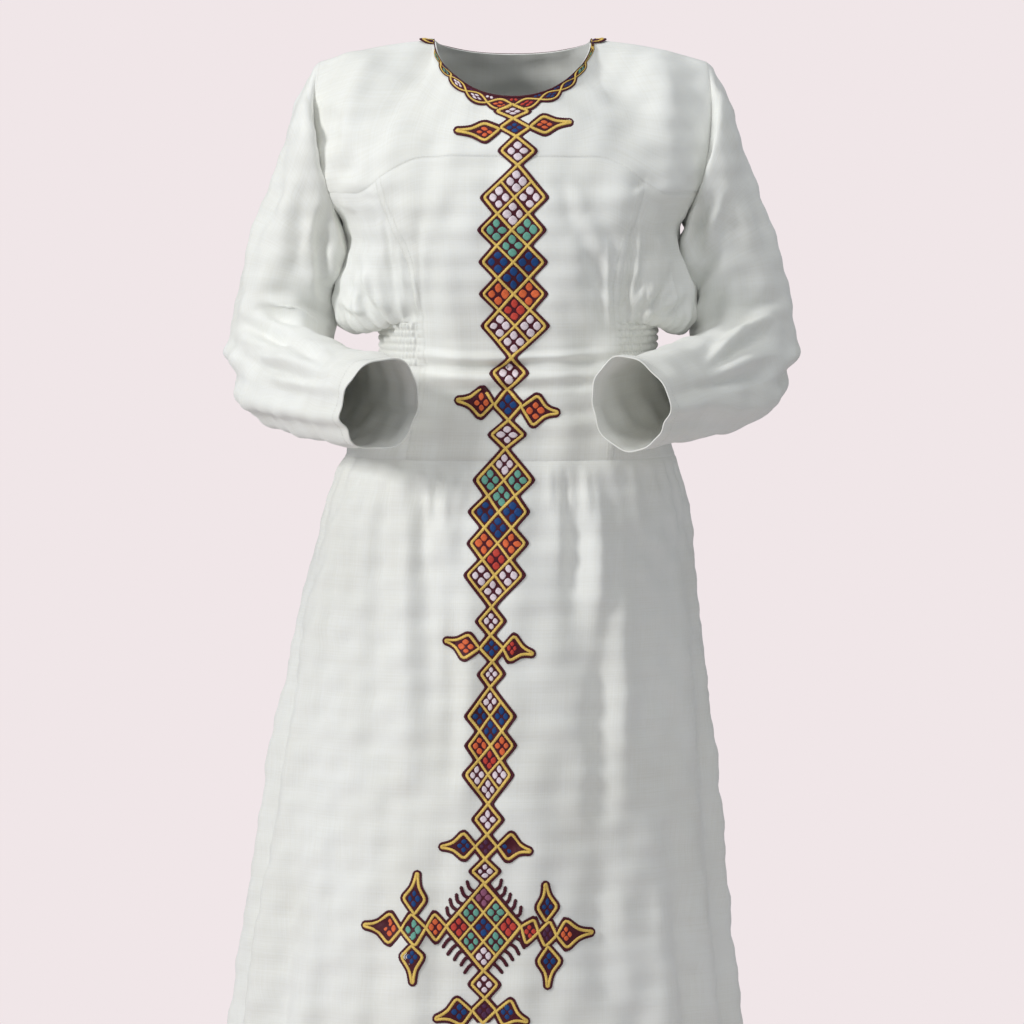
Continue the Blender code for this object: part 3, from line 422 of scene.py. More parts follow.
        ("front", 0.061, -0.428, 0.060, -0.604, 0.003, 0.013, -0.0046),
        ("front", 0.072, -0.428, 0.074, -0.490, 0.001, 0.004, 0.0018),
        ("front", 0.088, -0.560, 0.084, -0.800, 0.003, 0.012, -0.0030),
        ("front", -0.108, -0.426, -0.112, -0.640, 0.003, 0.011, 0.0026),
        ("front", -0.088, -0.560, -0.082, -0.780, 0.003, 0.013, -0.0022),
        ("front", -0.060, -0.426, -0.066, -0.540, -0.002, 0.008, 0.0012),
        ("front", 0.044, -0.426, 0.048, -0.560, 0.002, 0.008, 0.0012),
        ("front", 0.084, -0.430, 0.082, -0.640, 0.003, 0.010, 0.0026),
        ("front", 0.104, -0.440, 0.106, -0.800, 0.004, 0.014, 0.0030),
        ("front", -0.104, -0.760, -0.110, -1.060, 0.004, 0.018, 0.0030),
        ("front", 0.092, -0.740, 0.098, -1.060, -0.004, 0.016, -0.0030),
        ("front", -0.140, -0.900, -0.152, -1.240, -0.006, 0.018, -0.0034),
        ("front", 0.040, -0.900, 0.044, -1.300, 0.004, 0.022, 0.0022),
        ("front", -0.050, -1.000, -0.056, -1.330, -0.004, 0.020, 0.0022),
        ("front", -0.010, -0.990, -0.004, -1.320, 0.002, 0.018, -0.0018),
    ),
    "skirt_back": (
        ("back", -0.120, -0.430, -0.130, -0.760, 0.006, 0.014, -0.0034),
        ("back", -0.060, -0.428, -0.070, -0.900, -0.006, 0.016, 0.0030),
        ("back", 0.020, -0.428, 0.024, -0.800, 0.005, 0.014, -0.0030),
        ("back", 0.070, -0.430, 0.080, -0.900, 0.006, 0.016, 0.0030),
        ("back", 0.128, -0.430, 0.140, -0.760, -0.006, 0.014, -0.0034),
    ),
}
# Each view's level direction, as the number of its axis, and the way that it faces.
VIEWS = {
    "front": (0, (0.0, -1.0, 0.0)),
    "back": (0, (0.0, 1.0, 0.0)),
    "right": (1, (-1.0, 0.0, 0.0)),
    "left": (1, (1.0, 0.0, 0.0)),
}
RIPPLE_COUNT = 14
RIPPLE_SEED = 5
RIPPLE_DEPTH = 0.00056
# All creases together stand out by this much more than their rows say.
CREASE_SHARE = 1.6

# The line down the middle of the embroidery, which sways as the dress hangs.
SWAY_COLUMNS = ("z", "x")
SWAY_ROWS = (
    (-0.0600, -0.0010), (-0.0810, 0.0003), (-0.0985, 0.0035), (-0.1270, 0.0048),
    (-0.1590, 0.0015), (-0.1940, -0.0012), (-0.2240, 0.0002), (-0.2570, 0.0006),
    (-0.2890, 0.0022), (-0.3200, -0.0014), (-0.3520, -0.0056), (-0.3830, -0.0044),
    (-0.4110, -0.0075), (-0.4470, -0.0095), (-0.4730, -0.0140), (-0.5060, -0.0153),
    (-0.5340, -0.0180), (-0.5690, -0.0214), (-0.5970, -0.0224), (-0.6240, -0.0207),
    (-0.6490, -0.0229), (-0.6800, -0.0226), (-0.7070, -0.0223), (-0.7330, -0.0248),
    (-0.7650, -0.0248), (-0.7950, -0.0257), (-0.8190, -0.0280), (-0.8435, -0.0279),
    (-0.8870, -0.0295), (-0.9296, -0.0295), (-0.9567, -0.0279), (-0.9814, -0.0301),
)
# The motifs of the chain, from the neck down: top, bottom, half width, the thread in the lozenges
# down its middle, and in the pairs beside them.
CHAIN_COLUMNS = ("top", "bottom", "half_width", "middle", "pairs")
CHAIN_ROWS = (
    (-0.0666, -0.0807, 0.0204, ("white",), ()),
    (-0.0807, -0.0985, 0.0187, ("blue",), ()),
    (-0.0985, -0.1272, 0.0204, ("white",), ()),
    (-0.1272, -0.3201, 0.0347, ("white", "white", "teal", "blue", "red", "white"),
     ("white", "teal", "blue", "orange", "white")),
    (-0.3201, -0.3520, 0.0200, ("white",), ()),
    (-0.3520, -0.3832, 0.0180, ("blue",), ()),
    (-0.3832, -0.4113, 0.0200, ("white",), ()),
    (-0.4113, -0.5694, 0.0312, ("white", "teal", "blue", "red", "white"),
     ("teal", "blue", "orange", "white")),
    (-0.5694, -0.5974, 0.0160, ("white",), ()),
    (-0.5974, -0.6236, 0.0160, ("blue",), ()),
    (-0.6236, -0.6491, 0.0146, ("white",), ()),
    (-0.6491, -0.7653, 0.0262, ("white", "blue", "red", "white"), ("blue", "orange", "white")),
    (-0.7653, -0.7952, 0.0168, ("white",), ()),
    (-0.7952, -0.8193, 0.0150, ("violet",), ()),
    (-0.8193, -0.8435, 0.0168, ("white",), ()),
    (-0.8435, -0.9296, 0.0412, (), ()),
    (-0.9296, -0.9567, 0.0171, ("white",), ()),
    (-0.9567, -0.9814, 0.0160, ("violet",), ()),
)
# The nine lozenges of the medallion, from its top corner row by row.
MEDALLION_THREADS = ("plum", "teal", "teal", "red", "blue", "red", "teal", "teal", "white")
HOOKS_ON_A_SIDE = 5
HOOK_LENGTH = 0.0125
HOOK_HALF = 0.0018

# The arms of the crosses, and the crosses beside the medallion, each a leaf-shaped lozenge: the
# place of its inner tip, its widest part and its outer tip, half its width, and its thread.
LEAF_COLUMNS = ("node", "inner", "wide", "tip", "half", "tailed", "thread")
LEAF_ROWS = (
    ("cross_1_arm_right", (-0.0131, -0.0909), (-0.0284, -0.0941), (-0.0602, -0.0928), 0.0128, 1, "orange"),
    ("cross_1_arm_left", (0.0169, -0.0890), (0.0316, -0.0869), (0.0616, -0.0839), 0.0126, 1, "orange"),
    ("cross_2_arm_right", (-0.0197, -0.3660), (-0.0318, -0.3652), (-0.0592, -0.3628), 0.0184, 1, "orange"),
    ("cross_2_arm_left", (0.0084, -0.3695), (0.0224, -0.3733), (0.0480, -0.3760), 0.0190, 1, "orange"),
    ("cross_3_arm_right", (-0.0340, -0.6105), (-0.0469, -0.6085), (-0.0711, -0.6025), 0.0163, 1, "orange"),
    ("cross_3_arm_left", (-0.0100, -0.6105), (-0.0010, -0.6102), (0.0233, -0.6166), 0.0166, 1, "red"),
    ("cross_4_arm_right", (-0.0378, -0.8072), (-0.0493, -0.8060), (-0.0751, -0.8078), 0.0166, 1, "blue"),
    ("cross_4_arm_left", (-0.0154, -0.8072), (-0.0034, -0.8070), (0.0208, -0.8124), 0.0172, 1, "blue"),
    ("cross_5_arm_right", (-0.0410, -0.9700), (-0.0537, -0.9700), (-0.0808, -0.9775), 0.0172, 1, "blue"),
    ("cross_5_arm_left", (-0.0170, -0.9700), (-0.0059, -0.9705), (0.0172, -0.9806), 0.0170, 1, "blue"),
    ("medallion_side_right", (-0.0662, -0.8866), (-0.0778, -0.8874), (-0.0872, -0.8878), 0.0178, 0, "orange"),
    ("medallion_side_right", (-0.0872, -0.8878), (-0.0998, -0.8897), (-0.1119, -0.8906), 0.0201, 0, "teal"),
    ("medallion_side_right", (-0.0984, -0.8746), (-0.0988, -0.8595), (-0.0955, -0.8308), 0.0148, 1, "blue"),
    ("medallion_side_right", (-0.1012, -0.9049), (-0.1008, -0.9165), (-0.1003, -0.9456), 0.0145, 1, "blue"),
    ("medallion_side_right", (-0.1119, -0.8906), (-0.1235, -0.8898), (-0.1525, -0.8880), 0.0191, 1, "orange"),
    ("medallion_side_left", (0.0080, -0.8866), (0.0168, -0.8915), (0.0252, -0.8925), 0.0166, 0, "red"),
    ("medallion_side_left", (0.0252, -0.8925), (0.0343, -0.8944), (0.0435, -0.8961), 0.0170, 0, "violet"),
    ("medallion_side_left", (0.0329, -0.8823), (0.0342, -0.8674), (0.0321, -0.8411), 0.0138, 1, "blue"),
    ("medallion_side_left", (0.0348, -0.9065), (0.0361, -0.9210), (0.0345, -0.9496), 0.0151, 1, "blue"),
    ("medallion_side_left", (0.0435, -0.8961), (0.0533, -0.8950), (0.0826, -0.8945), 0.0177, 1, "orange"),
)
# Outline of a leaf: places from the inner tip (0) over the widest part (1) to the outer tip (2),
# and the share of its half width at each.
TAILED_SHAPE = ((0.0, 0.0), (0.5, 0.54), (0.82, 0.88), (0.94, 0.97), (1.0, 0.98), (1.10, 0.90), (1.26, 0.62),
                (1.44, 0.34), (1.64, 0.19), (1.84, 0.11), (2.0, 0.08))
PLAIN_SHAPE = ((0.0, 0.0), (0.5, 0.52), (0.88, 0.90), (1.0, 0.96), (1.12, 0.90), (1.5, 0.52), (2.0, 0.0))

# The neck border: how many cells lie across the front and the back, the line its two gold
# strands weave about, how far they swing, and the thread in each cell from the right shoulder.
FRONT_CELLS = 12
BACK_CELLS = 10
BORDER_MIDDLE = 0.0112
BORDER_SWING = 0.0062
BORDER_REACH = 0.2
BORDER_DEPTH = 0.026
CELL_THREADS = (
    "violet", "teal", "teal", "white", "white", "orange", "red", "blue", "blue", "teal", "teal", "violet",
    "violet", "teal", "blue", "white", "orange", "red", "white", "blue", "teal", "violet",
)
NOTCH_THREADS = (
    "teal", "teal", "blue", "violet", "violet", "white", "red", "blue", "blue", "blue", "teal", "teal",
    "white", "teal", "violet", "blue", "red", "orange", "blue", "violet", "teal", "white",
)

# Widths of the stitched lines, and how high everything stands.
GOLD_HALF = 0.00145
LATTICE_HALF = 0.00112
OUTLINE_HALF = 0.00125
INNER_HALF = 0.00085
RIM = 0.0040
# How far the middle of the dark outline, and the edge of the ground, lie outside the gold line.
OUTLINE_OFF = 0.0026
GROUND_OFF = 0.0036
# The same, measured level across the slanting sides of the chain.
LEVEL_SHARE = 1.42
GROUND_LIFT = 0.0005
GROUND_RISE = 0.0004
GOLD_RISE = 0.0012
OUTLINE_RISE = 0.0010
INNER_RISE = 0.0006
PETAL_RISE = 0.0009
STITCH_PITCH = 0.0027
CORD_STEP = 0.0012
CHAIN_STEP = 0.0016
CORD_SIDES = 6
PETAL_SIDES = 12
PETAL_RINGS = ((0.06, 1.0), (0.45, 0.94), (0.78, 0.70), (1.0, 0.18), (0.98, -0.25))
PETAL_SQUARENESS = 1.5
PETAL_SHARE = 0.68
HAND_SEED = 11

# Colours of the cloth and the threads as read off, in the usual 0 to 255 scale.
COTTON = (240, 241, 237)
COTTON_SHADE = (233, 233, 226)
SEWING_THREAD = (240, 240, 234)
THREADS = {
    "maroon": (78, 20, 36),
    "gold": (240, 204, 108),
    "white": (240, 226, 234),
    "teal": (112, 176, 158),
    "blue": (26, 72, 132),
    "orange": (234, 112, 66),
    "red": (206, 72, 60),
    "violet": (84, 44, 78),
    "plum": (150, 92, 120),
}
BACKGROUND = (240, 230, 232)
FLOOR = (236, 227, 228)


def column(columns, rows, name):
    """One named column of a table, as an array."""
    return np.array([row[columns.index(name)] for row in rows], float)


def smooth(at, places, values):
    """A smooth curve through values given at increasing places, as cubic pieces."""
    slopes = np.gradient(values, places)
    at = np.clip(at, places[0], places[-1])
    i = np.clip(np.searchsorted(places, at, side="right") - 1, 0, len(places) - 2)
    step = places[i + 1] - places[i]
    t = (at - places[i]) / step
    return (
        values[i] * (2 * t**3 - 3 * t**2 + 1)
        + slopes[i] * step * (t**3 - 2 * t**2 + t)
        + values[i + 1] * (3 * t**2 - 2 * t**3)
        + slopes[i + 1] * step * (t**3 - t**2)
    )


def down(at_z, columns, rows, name):
    """A column of a table whose z falls from row to row, read at any height."""
    depth = -column(columns, rows, "z")
    return smooth(-np.asarray(at_z, float), depth, column(columns, rows, name))


def step_up(t):
    """Rises smoothly from 0 to 1 as t goes from 0 to 1."""
    t = np.clip(t, 0, 1)
    return t * t * (3 - 2 * t)


def bump(distance, breadth):
    """1 in the middle, falling smoothly to 0 at breadth to either side."""
    return np.where(np.abs(distance) < breadth, 0.5 + 0.5 * np.cos(np.pi * distance / breadth), 0.0)


def ring(theta, z, columns, rows):
    """A point of a torso or skirt ring. theta is 0 at the front, 90 degrees at +X."""
    read = {name: down(z, columns, rows, name) for name in columns[1:]}
    out = 1 + read["square"] * np.sin(2 * theta) ** 2
    depth = np.where(np.cos(theta) > 0, read["front"], read["back"])
    return np.stack(
        np.broadcast_arrays(
            read["centre"] + read["half_width"] * np.sin(theta) * out,
            -depth * np.cos(theta) * out,
            z,
        ),
        axis=-1,
    )


def torso(theta, z):
    """The close-fitting part of the dress, from the chest to the hips."""
    return ring(theta, z, TORSO_COLUMNS, TORSO_ROWS)


def outward(theta):
    """The level direction away from the middle of the body."""
    return np.stack(np.broadcast_arrays(np.sin(theta), -np.cos(theta), 0.0 * theta), axis=-1)


def princess_angle(z):
    """How far round the torso ring of height z the seam beside a centre panel lies."""
    heights, halves = np.array(PRINCESS_X).T
    x = smooth(-np.asarray(z, float), -heights, halves)
    half_width = down(z, TORSO_COLUMNS, TORSO_ROWS, "half_width")
    square = down(z, TORSO_COLUMNS, TORSO_ROWS, "square")
    angle = np.arcsin(x / half_width)
    for _ in range(SOLVER_STEPS):
        angle = np.arcsin(x / half_width / (1 + square * np.sin(2 * angle) ** 2))
    return angle


def yoke_z(theta):
    """Height of a yoke's lower edge: higher across the centre panel than at its sides."""
    off_centre = np.abs(np.arctan2(np.sin(theta), np.abs(np.cos(theta))))
    low = step_up((off_centre - math.radians(24)) / math.radians(26))
    return YOKE_CENTRE_Z + (YOKE_SIDE_Z - YOKE_CENTRE_Z) * low


def armhole_z(theta):
    """Height of the side panel's upper edge, which dips under the arm."""
    from_side = np.abs(np.arctan2(np.cos(theta), np.abs(np.sin(theta)))) / ARMHOLE_ANGLE
    dip = UNDERARM_Z + (YOKE_SIDE_Z - UNDERARM_Z) * np.clip(from_side, 0, 1) ** 2
    return np.where(from_side < 1, dip, yoke_z(theta))


def hermite(start, end, start_pull, end_pull, t):
    """A curve from start to end that leaves and arrives along the two pulls."""
    t = t[..., None]
    return (
        start * (2 * t**3 - 3 * t**2 + 1)
        + start_pull * (t**3 - 2 * t**2 + t)
        + end * (3 * t**2 - 2 * t**3)
        + end_pull * (t**3 - t**2)
    )


def yoke_top(share, front):
    """The shoulder seam and neckline. share runs from -1 at one tip over 0 to 1 at the other."""
    side = np.sign(share)
    along = np.clip((np.abs(share) - NECK_SHARE) / (1 - NECK_SHARE), 0, 1)
    tip, point = np.array(SHOULDER_TIP), np.array(NECK_POINT)
    shoulder = point + (tip - point) * along[..., None]
    shoulder[..., 2] += SHOULDER_SAG * np.sin(np.pi * along)
    shoulder[..., 0] *= side
    low = np.array(NECK_FRONT if front else NECK_BACK)
    turn = np.clip(share / NECK_SHARE, -1, 1) * np.pi / 2
    neck = np.stack(
        [
            point[0] * np.sin(turn) * (1 - 0.05 * np.sin(2 * turn) ** 2),
            low[1] + (point[1] - low[1]) * (1 - np.cos(turn)),
            low[2] + (point[2] - low[2]) * (1 - np.cos(turn)),
        ],
        axis=-1,
    )
    return np.where((np.abs(share) > NECK_SHARE)[..., None], shoulder, neck)


def yoke(share, t, front):
    """The upper bodice. share runs between the armholes, t from the lower edge up to the shoulder.

    Each share gives one curve that leaves the torso rings along their own slope and comes
    over the shoulder nearly level; t is one value for each share, or a column of them.
    """
    arm = np.pi / 2 - ARMHOLE_ANGLE
    theta = share * arm if front else np.pi - share * arm
    level = yoke_z(theta)
    start = torso(theta, level)
    rise = (torso(theta, level + 0.004) - start) / 0.004
    end = yoke_top(share, front)
    to_tip = step_up((np.abs(share) - 0.72) / 0.28)[..., None]
    to_shoulder = step_up((np.abs(share) - 0.20) / 0.22)[..., None]
    height = (end - start)[..., 2:3]
    reach = np.linalg.norm((end - start)[..., :2], axis=-1)[..., None]
    back = -1 if front else 1
    flat = np.array([0.0, -back, 0.0])
    slope = np.array([0.0, -back * 0.70, 0.72])
    beside_neck = 1 - step_up((np.abs(share) - NECK_SHARE) / 0.34)[..., None]
    flat = flat * (1 - 0.45 * beside_neck) + np.array([0.0, 0.0, 0.80]) * beside_neck
    start_pull = rise * height * (1.0 + 0.25 * to_shoulder - 0.25 * to_tip)
    end_pull = flat * to_shoulder * (reach * (1.25 - 0.25 * beside_neck) + 0.02) + slope * (1 - to_shoulder) * height * 1.1
    return hermite(start, end, start_pull, end_pull, t)


def side_panel(theta, z):
    """The torso under the arm, bagging out over the shirred waist."""
    front = princess_angle(z)
    share = np.clip((np.abs(theta) - front) / (np.pi - 2 * front), 0, 1)
    swell = (np.sin(np.pi * share) ** 1.2)[..., None]
    out = down(z, POUCH_COLUMNS, POUCH_ROWS, "out")[..., None]
    sag = down(z, POUCH_COLUMNS, POUCH_ROWS, "down")[..., None]
    pleats = SIDE_GATHER_DEPTH * np.cos(share * 2 * np.pi * SIDE_GATHERS)
    pleats = pleats * step_up((SIDE_GATHER_TOP_Z - z) / 0.06) * step_up((z - SHIRRING_TOP_Z) / 0.012)
    pleats = pleats * np.clip(swell[..., 0] * 4, 0, 1)
    points = torso(theta, z) + outward(theta) * (out * swell + pleats[..., None])
    points[..., 2] -= (sag * swell)[..., 0]
    return points


def skirt(theta, z):
    """The skirt, with small gathers below its seam that open into broad folds."""
    points = ring(theta, z, SKIRT_COLUMNS, SKIRT_ROWS)
    fall = np.clip((SKIRT_TOP_Z - z) / (SKIRT_TOP_Z - HEM_Z), 0, 1)
    out = np.zeros(np.broadcast(theta, z).shape)
    for row in FOLD_ROWS:
        fold = dict(zip(FOLD_COLUMNS, row))
        away = (np.degrees(theta) - fold["degrees"] + 180) % 360 - 180
        grown = step_up((fold["start_z"] - z) / (fold["start_z"] - fold["full_z"]))
        out = out + bump(away, 1.15 * fold["breadth"]) * fold["depth"] * grown * (0.55 + 0.45 * fall)
    gathers = np.cos(GATHERS * theta) * GATHER_DEPTH
    gathers = gathers * step_up((np.abs(theta) - FLAT_FRONT) / FLAT_FRONT)
    just_below = step_up((SKIRT_TOP_Z - z) / 0.02) * np.exp((z - SKIRT_TOP_Z) / GATHER_FADE)
    return points + outward(theta) * (out + gathers * just_below)[..., None]


def top_angle():
    """The angle of the princess seam where it leaves the front yoke."""
    return float(princess_angle(YOKE_SIDE_Z))


def sleeve_ring(row, phi, index):
    """One ring of the wearer's right sleeve. phi is 0 at its outer side and 90 degrees at its front."""
    size = dict(zip(SLEEVE_COLUMNS, row))
    inner = np.array([size["in_x"], size["in_y"], size["in_z"]])
    outer = np.array([size["out_x"], size["out_y"], size["out_z"]])
    across = (outer - inner) / 2
    level = across / np.linalg.norm(across)
    front = np.array([0.0, -1.0, 0.0])
    front = front - level * front.dot(level)
    front /= np.linalg.norm(front)
    turn = math.radians(size["forward"])
    ahead = front * math.cos(turn) + np.cross(level, front) * math.sin(turn)
    out = np.ones(len(phi))
    for fold_row in SLEEVE_FOLD_ROWS:
        fold = dict(zip(SLEEVE_FOLD_COLUMNS, fold_row))
        away = (np.degrees(phi) - fold["degrees"] + 180) % 360 - 180
        middle = (fold["first"] + fold["last"]) / 2
        present = bump(index - middle, (fold["last"] - fold["first"]) / 2 + 0.01)
        out = out + bump(away, 1.4 * fold["breadth"]) * fold["depth"] / size["deep"] * present
    swing = np.cos(phi)[:, None] * across + np.sin(phi)[:, None] * ahead * size["deep"]
    return (inner + outer) / 2 + out[:, None] * swing


def sleeve(side, along):
    """A sleeve as a grid of closed rings, lofted from the armhole to the cuff."""
    start = armhole()
    step = np.linalg.norm(np.diff(np.concatenate([start, start[:1]]), axis=0), axis=-1)
    phi = 2 * np.pi * (np.cumsum(step) - step) / step.sum()
    rings = [start]
    rings += [sleeve_ring(row, phi, index + 1) for index, row in enumerate(SLEEVE_ROWS)]
    rows = smooth_rows(np.array(rings), along)
    if side > 0:
        rows = np.roll(rows[:, ::-1], 1, axis=1) * np.array([-1.0, 1.0, 1.0])
        below_elbow = step_up((np.linspace(0, 1, along) - 0.4) / 0.6)
        rows[..., 0] -= (LEFT_CUFF_SHIFT * below_elbow)[:, None]
    return rows


def smooth_rows(rows, count):
    """Rows of points again, with count rows on smooth curves through the given ones."""
    places = np.arange(len(rows), dtype=float)
    at = np.linspace(0, places[-1], count)
    flat = rows.reshape(len(rows), -1)
    out = np.stack([smooth(at, places, flat[:, k]) for k in range(flat.shape[1])], axis=-1)
    return out.reshape(count, *rows.shape[1:])


def front_yoke_at(x, z):
    """The share and t of the front yoke's points that lie at x and z, by stepwise correction."""
    share = x / SHOULDER_TIP[0]
    t = (z - YOKE_CENTRE_Z) / (NECK_FRONT[2] - YOKE_CENTRE_Z)
    nudge = 1e-4
    for _ in range(SOLVER_STEPS):
        here = yoke(share, t, True)
        by_share = (yoke(share + nudge, t, True) - here) / nudge
        by_t = (yoke(share, t + nudge, True) - here) / nudge
        miss_x, miss_z = x - here[..., 0], z - here[..., 2]
        scale = by_share[..., 0] * by_t[..., 2] - by_t[..., 0] * by_share[..., 2]
        share = share + (miss_x * by_t[..., 2] - miss_z * by_t[..., 0]) / scale
        t = t + (miss_z * by_share[..., 0] - miss_x * by_share[..., 2]) / scale
    return share, t


def front_at(x, z):
    """Points of the dress's front at the given x and z: yoke, centre panel or skirt."""
    x, z = np.broadcast_arrays(np.asarray(x, float), np.asarray(z, float))
    points = np.zeros(x.shape + (3,))
    high, low = z > YOKE_CENTRE_Z, z < SKIRT_TOP_Z
    if high.any():
        points[high] = yoke(*front_yoke_at(x[high], z[high]), True)
    for where, surface in ((low, skirt), (~high & ~low, torso)):
        theta = np.arcsin(x[where] / 0.24)
        for _ in range(SOLVER_STEPS):
            miss = x[where] - surface(theta, z[where])[..., 0]
            theta = theta + miss / 0.20
        points[where] = surface(theta, z[where])
    return points


def band_theta(share, side, z):
    """Angles from the front seam round the side to the back seam, in the order that faces outwards."""
    front = princess_angle(z)
    across = front + (np.pi - 2 * front) * share
    return across if side > 0 else -(np.pi - across)


def side_grid(share, side, rows):
    """The side panel's points, from the yokes and the armhole down to the shirring."""
    level = np.linspace(0, 1, rows)[:, None] ** LEVEL_POWER
    start = band_theta(share, side, np.full(len(share), YOKE_SIDE_Z))
    top = armhole_z(start)
    z = top + (SHIRRING_TOP_Z - top) * level
    return side_panel(band_theta(share, side, z), z)


def band_grid(share, side, top, bottom, rows):
    """A plain band round the side between two heights."""
    z = np.linspace(top, bottom, rows)[:, None] + 0 * share
    return torso(band_theta(share, side, z), z)


def armhole():
    """The wearer's right armhole, from the shoulder tip down the front, under the arm and up the back."""
    t = np.linspace(1, 0, YOKE_ROWS + 1)[:, None]
    share = np.array([-1.0])
    below = side_shares()[SIDE_STEPS + 1 : -SIDE_STEPS - 1]
    under = band_theta(below, 1, np.full(len(below), YOKE_SIDE_Z))
    return np.concatenate(
        [
            yoke(share, t, True)[:, 0],
            torso(-under, armhole_z(under)),
            yoke(share, t, False)[:0:-1, 0],
        ]
    )


def yoke_shares():
    """Where the columns of a yoke lie: over the centre panel, and over each side panel."""
    arm = np.pi / 2 - ARMHOLE_ANGLE
    centre = top_angle() / arm
    beside = np.linspace(centre, 1, SIDE_STEPS + 1)[1:]
    return np.concatenate([-beside[::-1], np.linspace(-centre, centre, CENTRE_STEPS + 1), beside])


def side_shares():
    """Where the columns of a side panel lie: under the front yoke, the armhole and the back yoke."""
    front = top_angle()
    marks = np.array([front, np.pi / 2 - ARMHOLE_ANGLE, np.pi / 2 + ARMHOLE_ANGLE, np.pi - front])
    theta = np.interp(np.linspace(0, 3, 3 * SIDE_STEPS + 1), np.arange(4), marks)
    return (theta - front) / (np.pi - 2 * front)


def edges_away(grid):
    """How far each point lies from the grid's four edges: lengths added up along its lines."""
    downs = np.linalg.norm(np.diff(grid, axis=0), axis=-1)
    acrosses = np.linalg.norm(np.diff(grid, axis=1), axis=-1)
    top = np.concatenate([np.zeros((1, grid.shape[1])), np.cumsum(downs, axis=0)])
    left = np.concatenate([np.zeros((grid.shape[0], 1)), np.cumsum(acrosses, axis=1)], axis=1)
    return {"top": top, "bottom": top[-1] - top, "left": left, "right": left[:, -1:] - left}


def outwards(grid, wrap=False):
    """Unit vectors out of the cloth: the slope down each column crossed with the slope along each row."""
    falling = np.gradient(grid, axis=0)
    if wrap:
        along = np.roll(grid, -1, axis=1) - np.roll(grid, 1, axis=1)
    else:
        along = np.gradient(grid, axis=1)
    out = np.cross(falling, along)
    return out / np.linalg.norm(out, axis=-1, keepdims=True)


def ripples(points):
    """Slow waves of the cloth: sines of a point's distance along fixed directions, added up."""
    hand = np.random.default_rng(RIPPLE_SEED)
    total = np.zeros(points.shape[:-1])
    for _ in range(RIPPLE_COUNT):
        way = hand.normal(size=3) * np.array([1.0, 1.0, 0.45])
        way /= np.linalg.norm(way)
        length = hand.uniform(0.024, 0.095)
        phase = hand.uniform(0, 2 * np.pi)
        total = total + np.sin(points @ way * (2 * np.pi / length) + phase)
    return total * RIPPLE_DEPTH


def creased(name, points, out):
    """The creases of one piece: each is a ridge with a hollow beside it, two bells across a bowed line."""
    total = np.zeros(points.shape[:-1])
    for row in CREASES.get(name, ()):
        crease = dict(zip(CREASE_COLUMNS, row))
        axis, face = VIEWS[crease["view"]]
        level, height = points[..., axis], points[..., 2]
        run = np.array([crease["to_x"] - crease["from_x"], crease["to_z"] - crease["from_z"]])
        length = np.hypot(*run)
        run = run / length
        along = ((level - crease["from_x"]) * run[0] + (height - crease["from_z"]) * run[1]) / length
        aside = (height - crease["from_z"]) * run[0] - (level - crease["from_x"]) * run[1]
        inside = np.clip(along, 0, 1)
        aside = (aside - crease["bow"] * 4 * inside * (1 - inside)) / crease["breadth"]
        taper = np.where((along > 0) & (along < 1), np.sin(np.pi * inside), 0) ** 0.8
        bell = np.exp(-(aside**2)) - 0.5 * np.exp(-((aside - 1.7) ** 2))
        seen = step_up((out @ np.array(face)) * 1.7 - 0.1)
        total = total + crease["depth"] * taper * bell * seen
    return total * CREASE_SHARE


def worn(name, grid, fade=1.0, wrap=False):
    """The panel's points moved along their normals by the ripples and creases of worn cloth."""
    out = outwards(grid, wrap)
    rise = (ripples(grid) + creased(name, grid, out)) * fade
    return grid + out * rise[..., None]


def seam_relief(grid, sides, fold=0.0, wrap=False):
    """Sinks the cloth into its seams and lifts it where the seam allowance lies pressed beneath."""
    away = edges_away(grid)
    rise = np.zeros(grid.shape[:-1])
    for side in sides:
        rise = rise - SEAM_SINK * np.exp(-((away[side] / SEAM_SINK_REACH) ** 2))
        rise = rise + fold * (1 - step_up((away[side] - SEAM_ALLOWANCE) / 0.0014))
    return grid + outwards(grid, wrap) * rise[..., None]


def hem_relief(grid, width, wrap=False):
    """Lifts the turned-up hem by the cloth's own thickness, with a small step at its sewn edge."""
    away = edges_away(grid)["bottom"]
    rise = HEM_STEP * (1 - step_up((away - width) / 0.003))
    rise = rise - HEM_STEP * 1.2 * np.exp(-(((away - width + 0.002) / 0.0012) ** 2))
    return grid + outwards(grid, wrap) * rise[..., None]


def linear(colour):
    """A colour of the 0 to 255 scale as linear light, by the usual power curve."""
    share = np.array(colour) / 255
    light = np.where(share <= 0.04045, share / 12.92, ((share + 0.055) / 1.055) ** 2.4)
    return (*light.tolist(), 1.0)


def add_node(tree, kind, **values):
    """A shader node with its settings, and its unlinked inputs, given by name."""
    node = tree.nodes.new(kind)
    for name, value in values.items():
        if hasattr(node, name):
            setattr(node, name, value)
        else:
            node.inputs[name.replace("_", " ")].default_value = value
    return node


def new_material(name, roughness, sheen, sheen_roughness):
    """An empty material with its shader, whose constant values sit on the shader's own sockets."""
    made = bpy.data.materials.new(name)
    made.use_nodes = True
    shader = made.node_tree.nodes["Principled BSDF"]
    shader.inputs["Roughness"].default_value = roughness
    shader.inputs["Sheen Weight"].default_value = sheen
    shader.inputs["Sheen Roughness"].default_value = sheen_roughness
    shader.inputs["Specular IOR Level"].default_value = 0.25
    return made, made.node_tree, shader


def math_node(tree, operation, first, second=None, third=None):
    """A math node of the given operation on sockets or numbers."""
    node = tree.nodes.new("ShaderNodeMath")
    node.operation = operation
    for slot, value in zip(node.inputs, (first, second, third)):
        if value is None:
            continue
        if isinstance(value, (int, float)):
            slot.default_value = value
        else:
            tree.links.new(value, slot)
    return node.outputs[0]


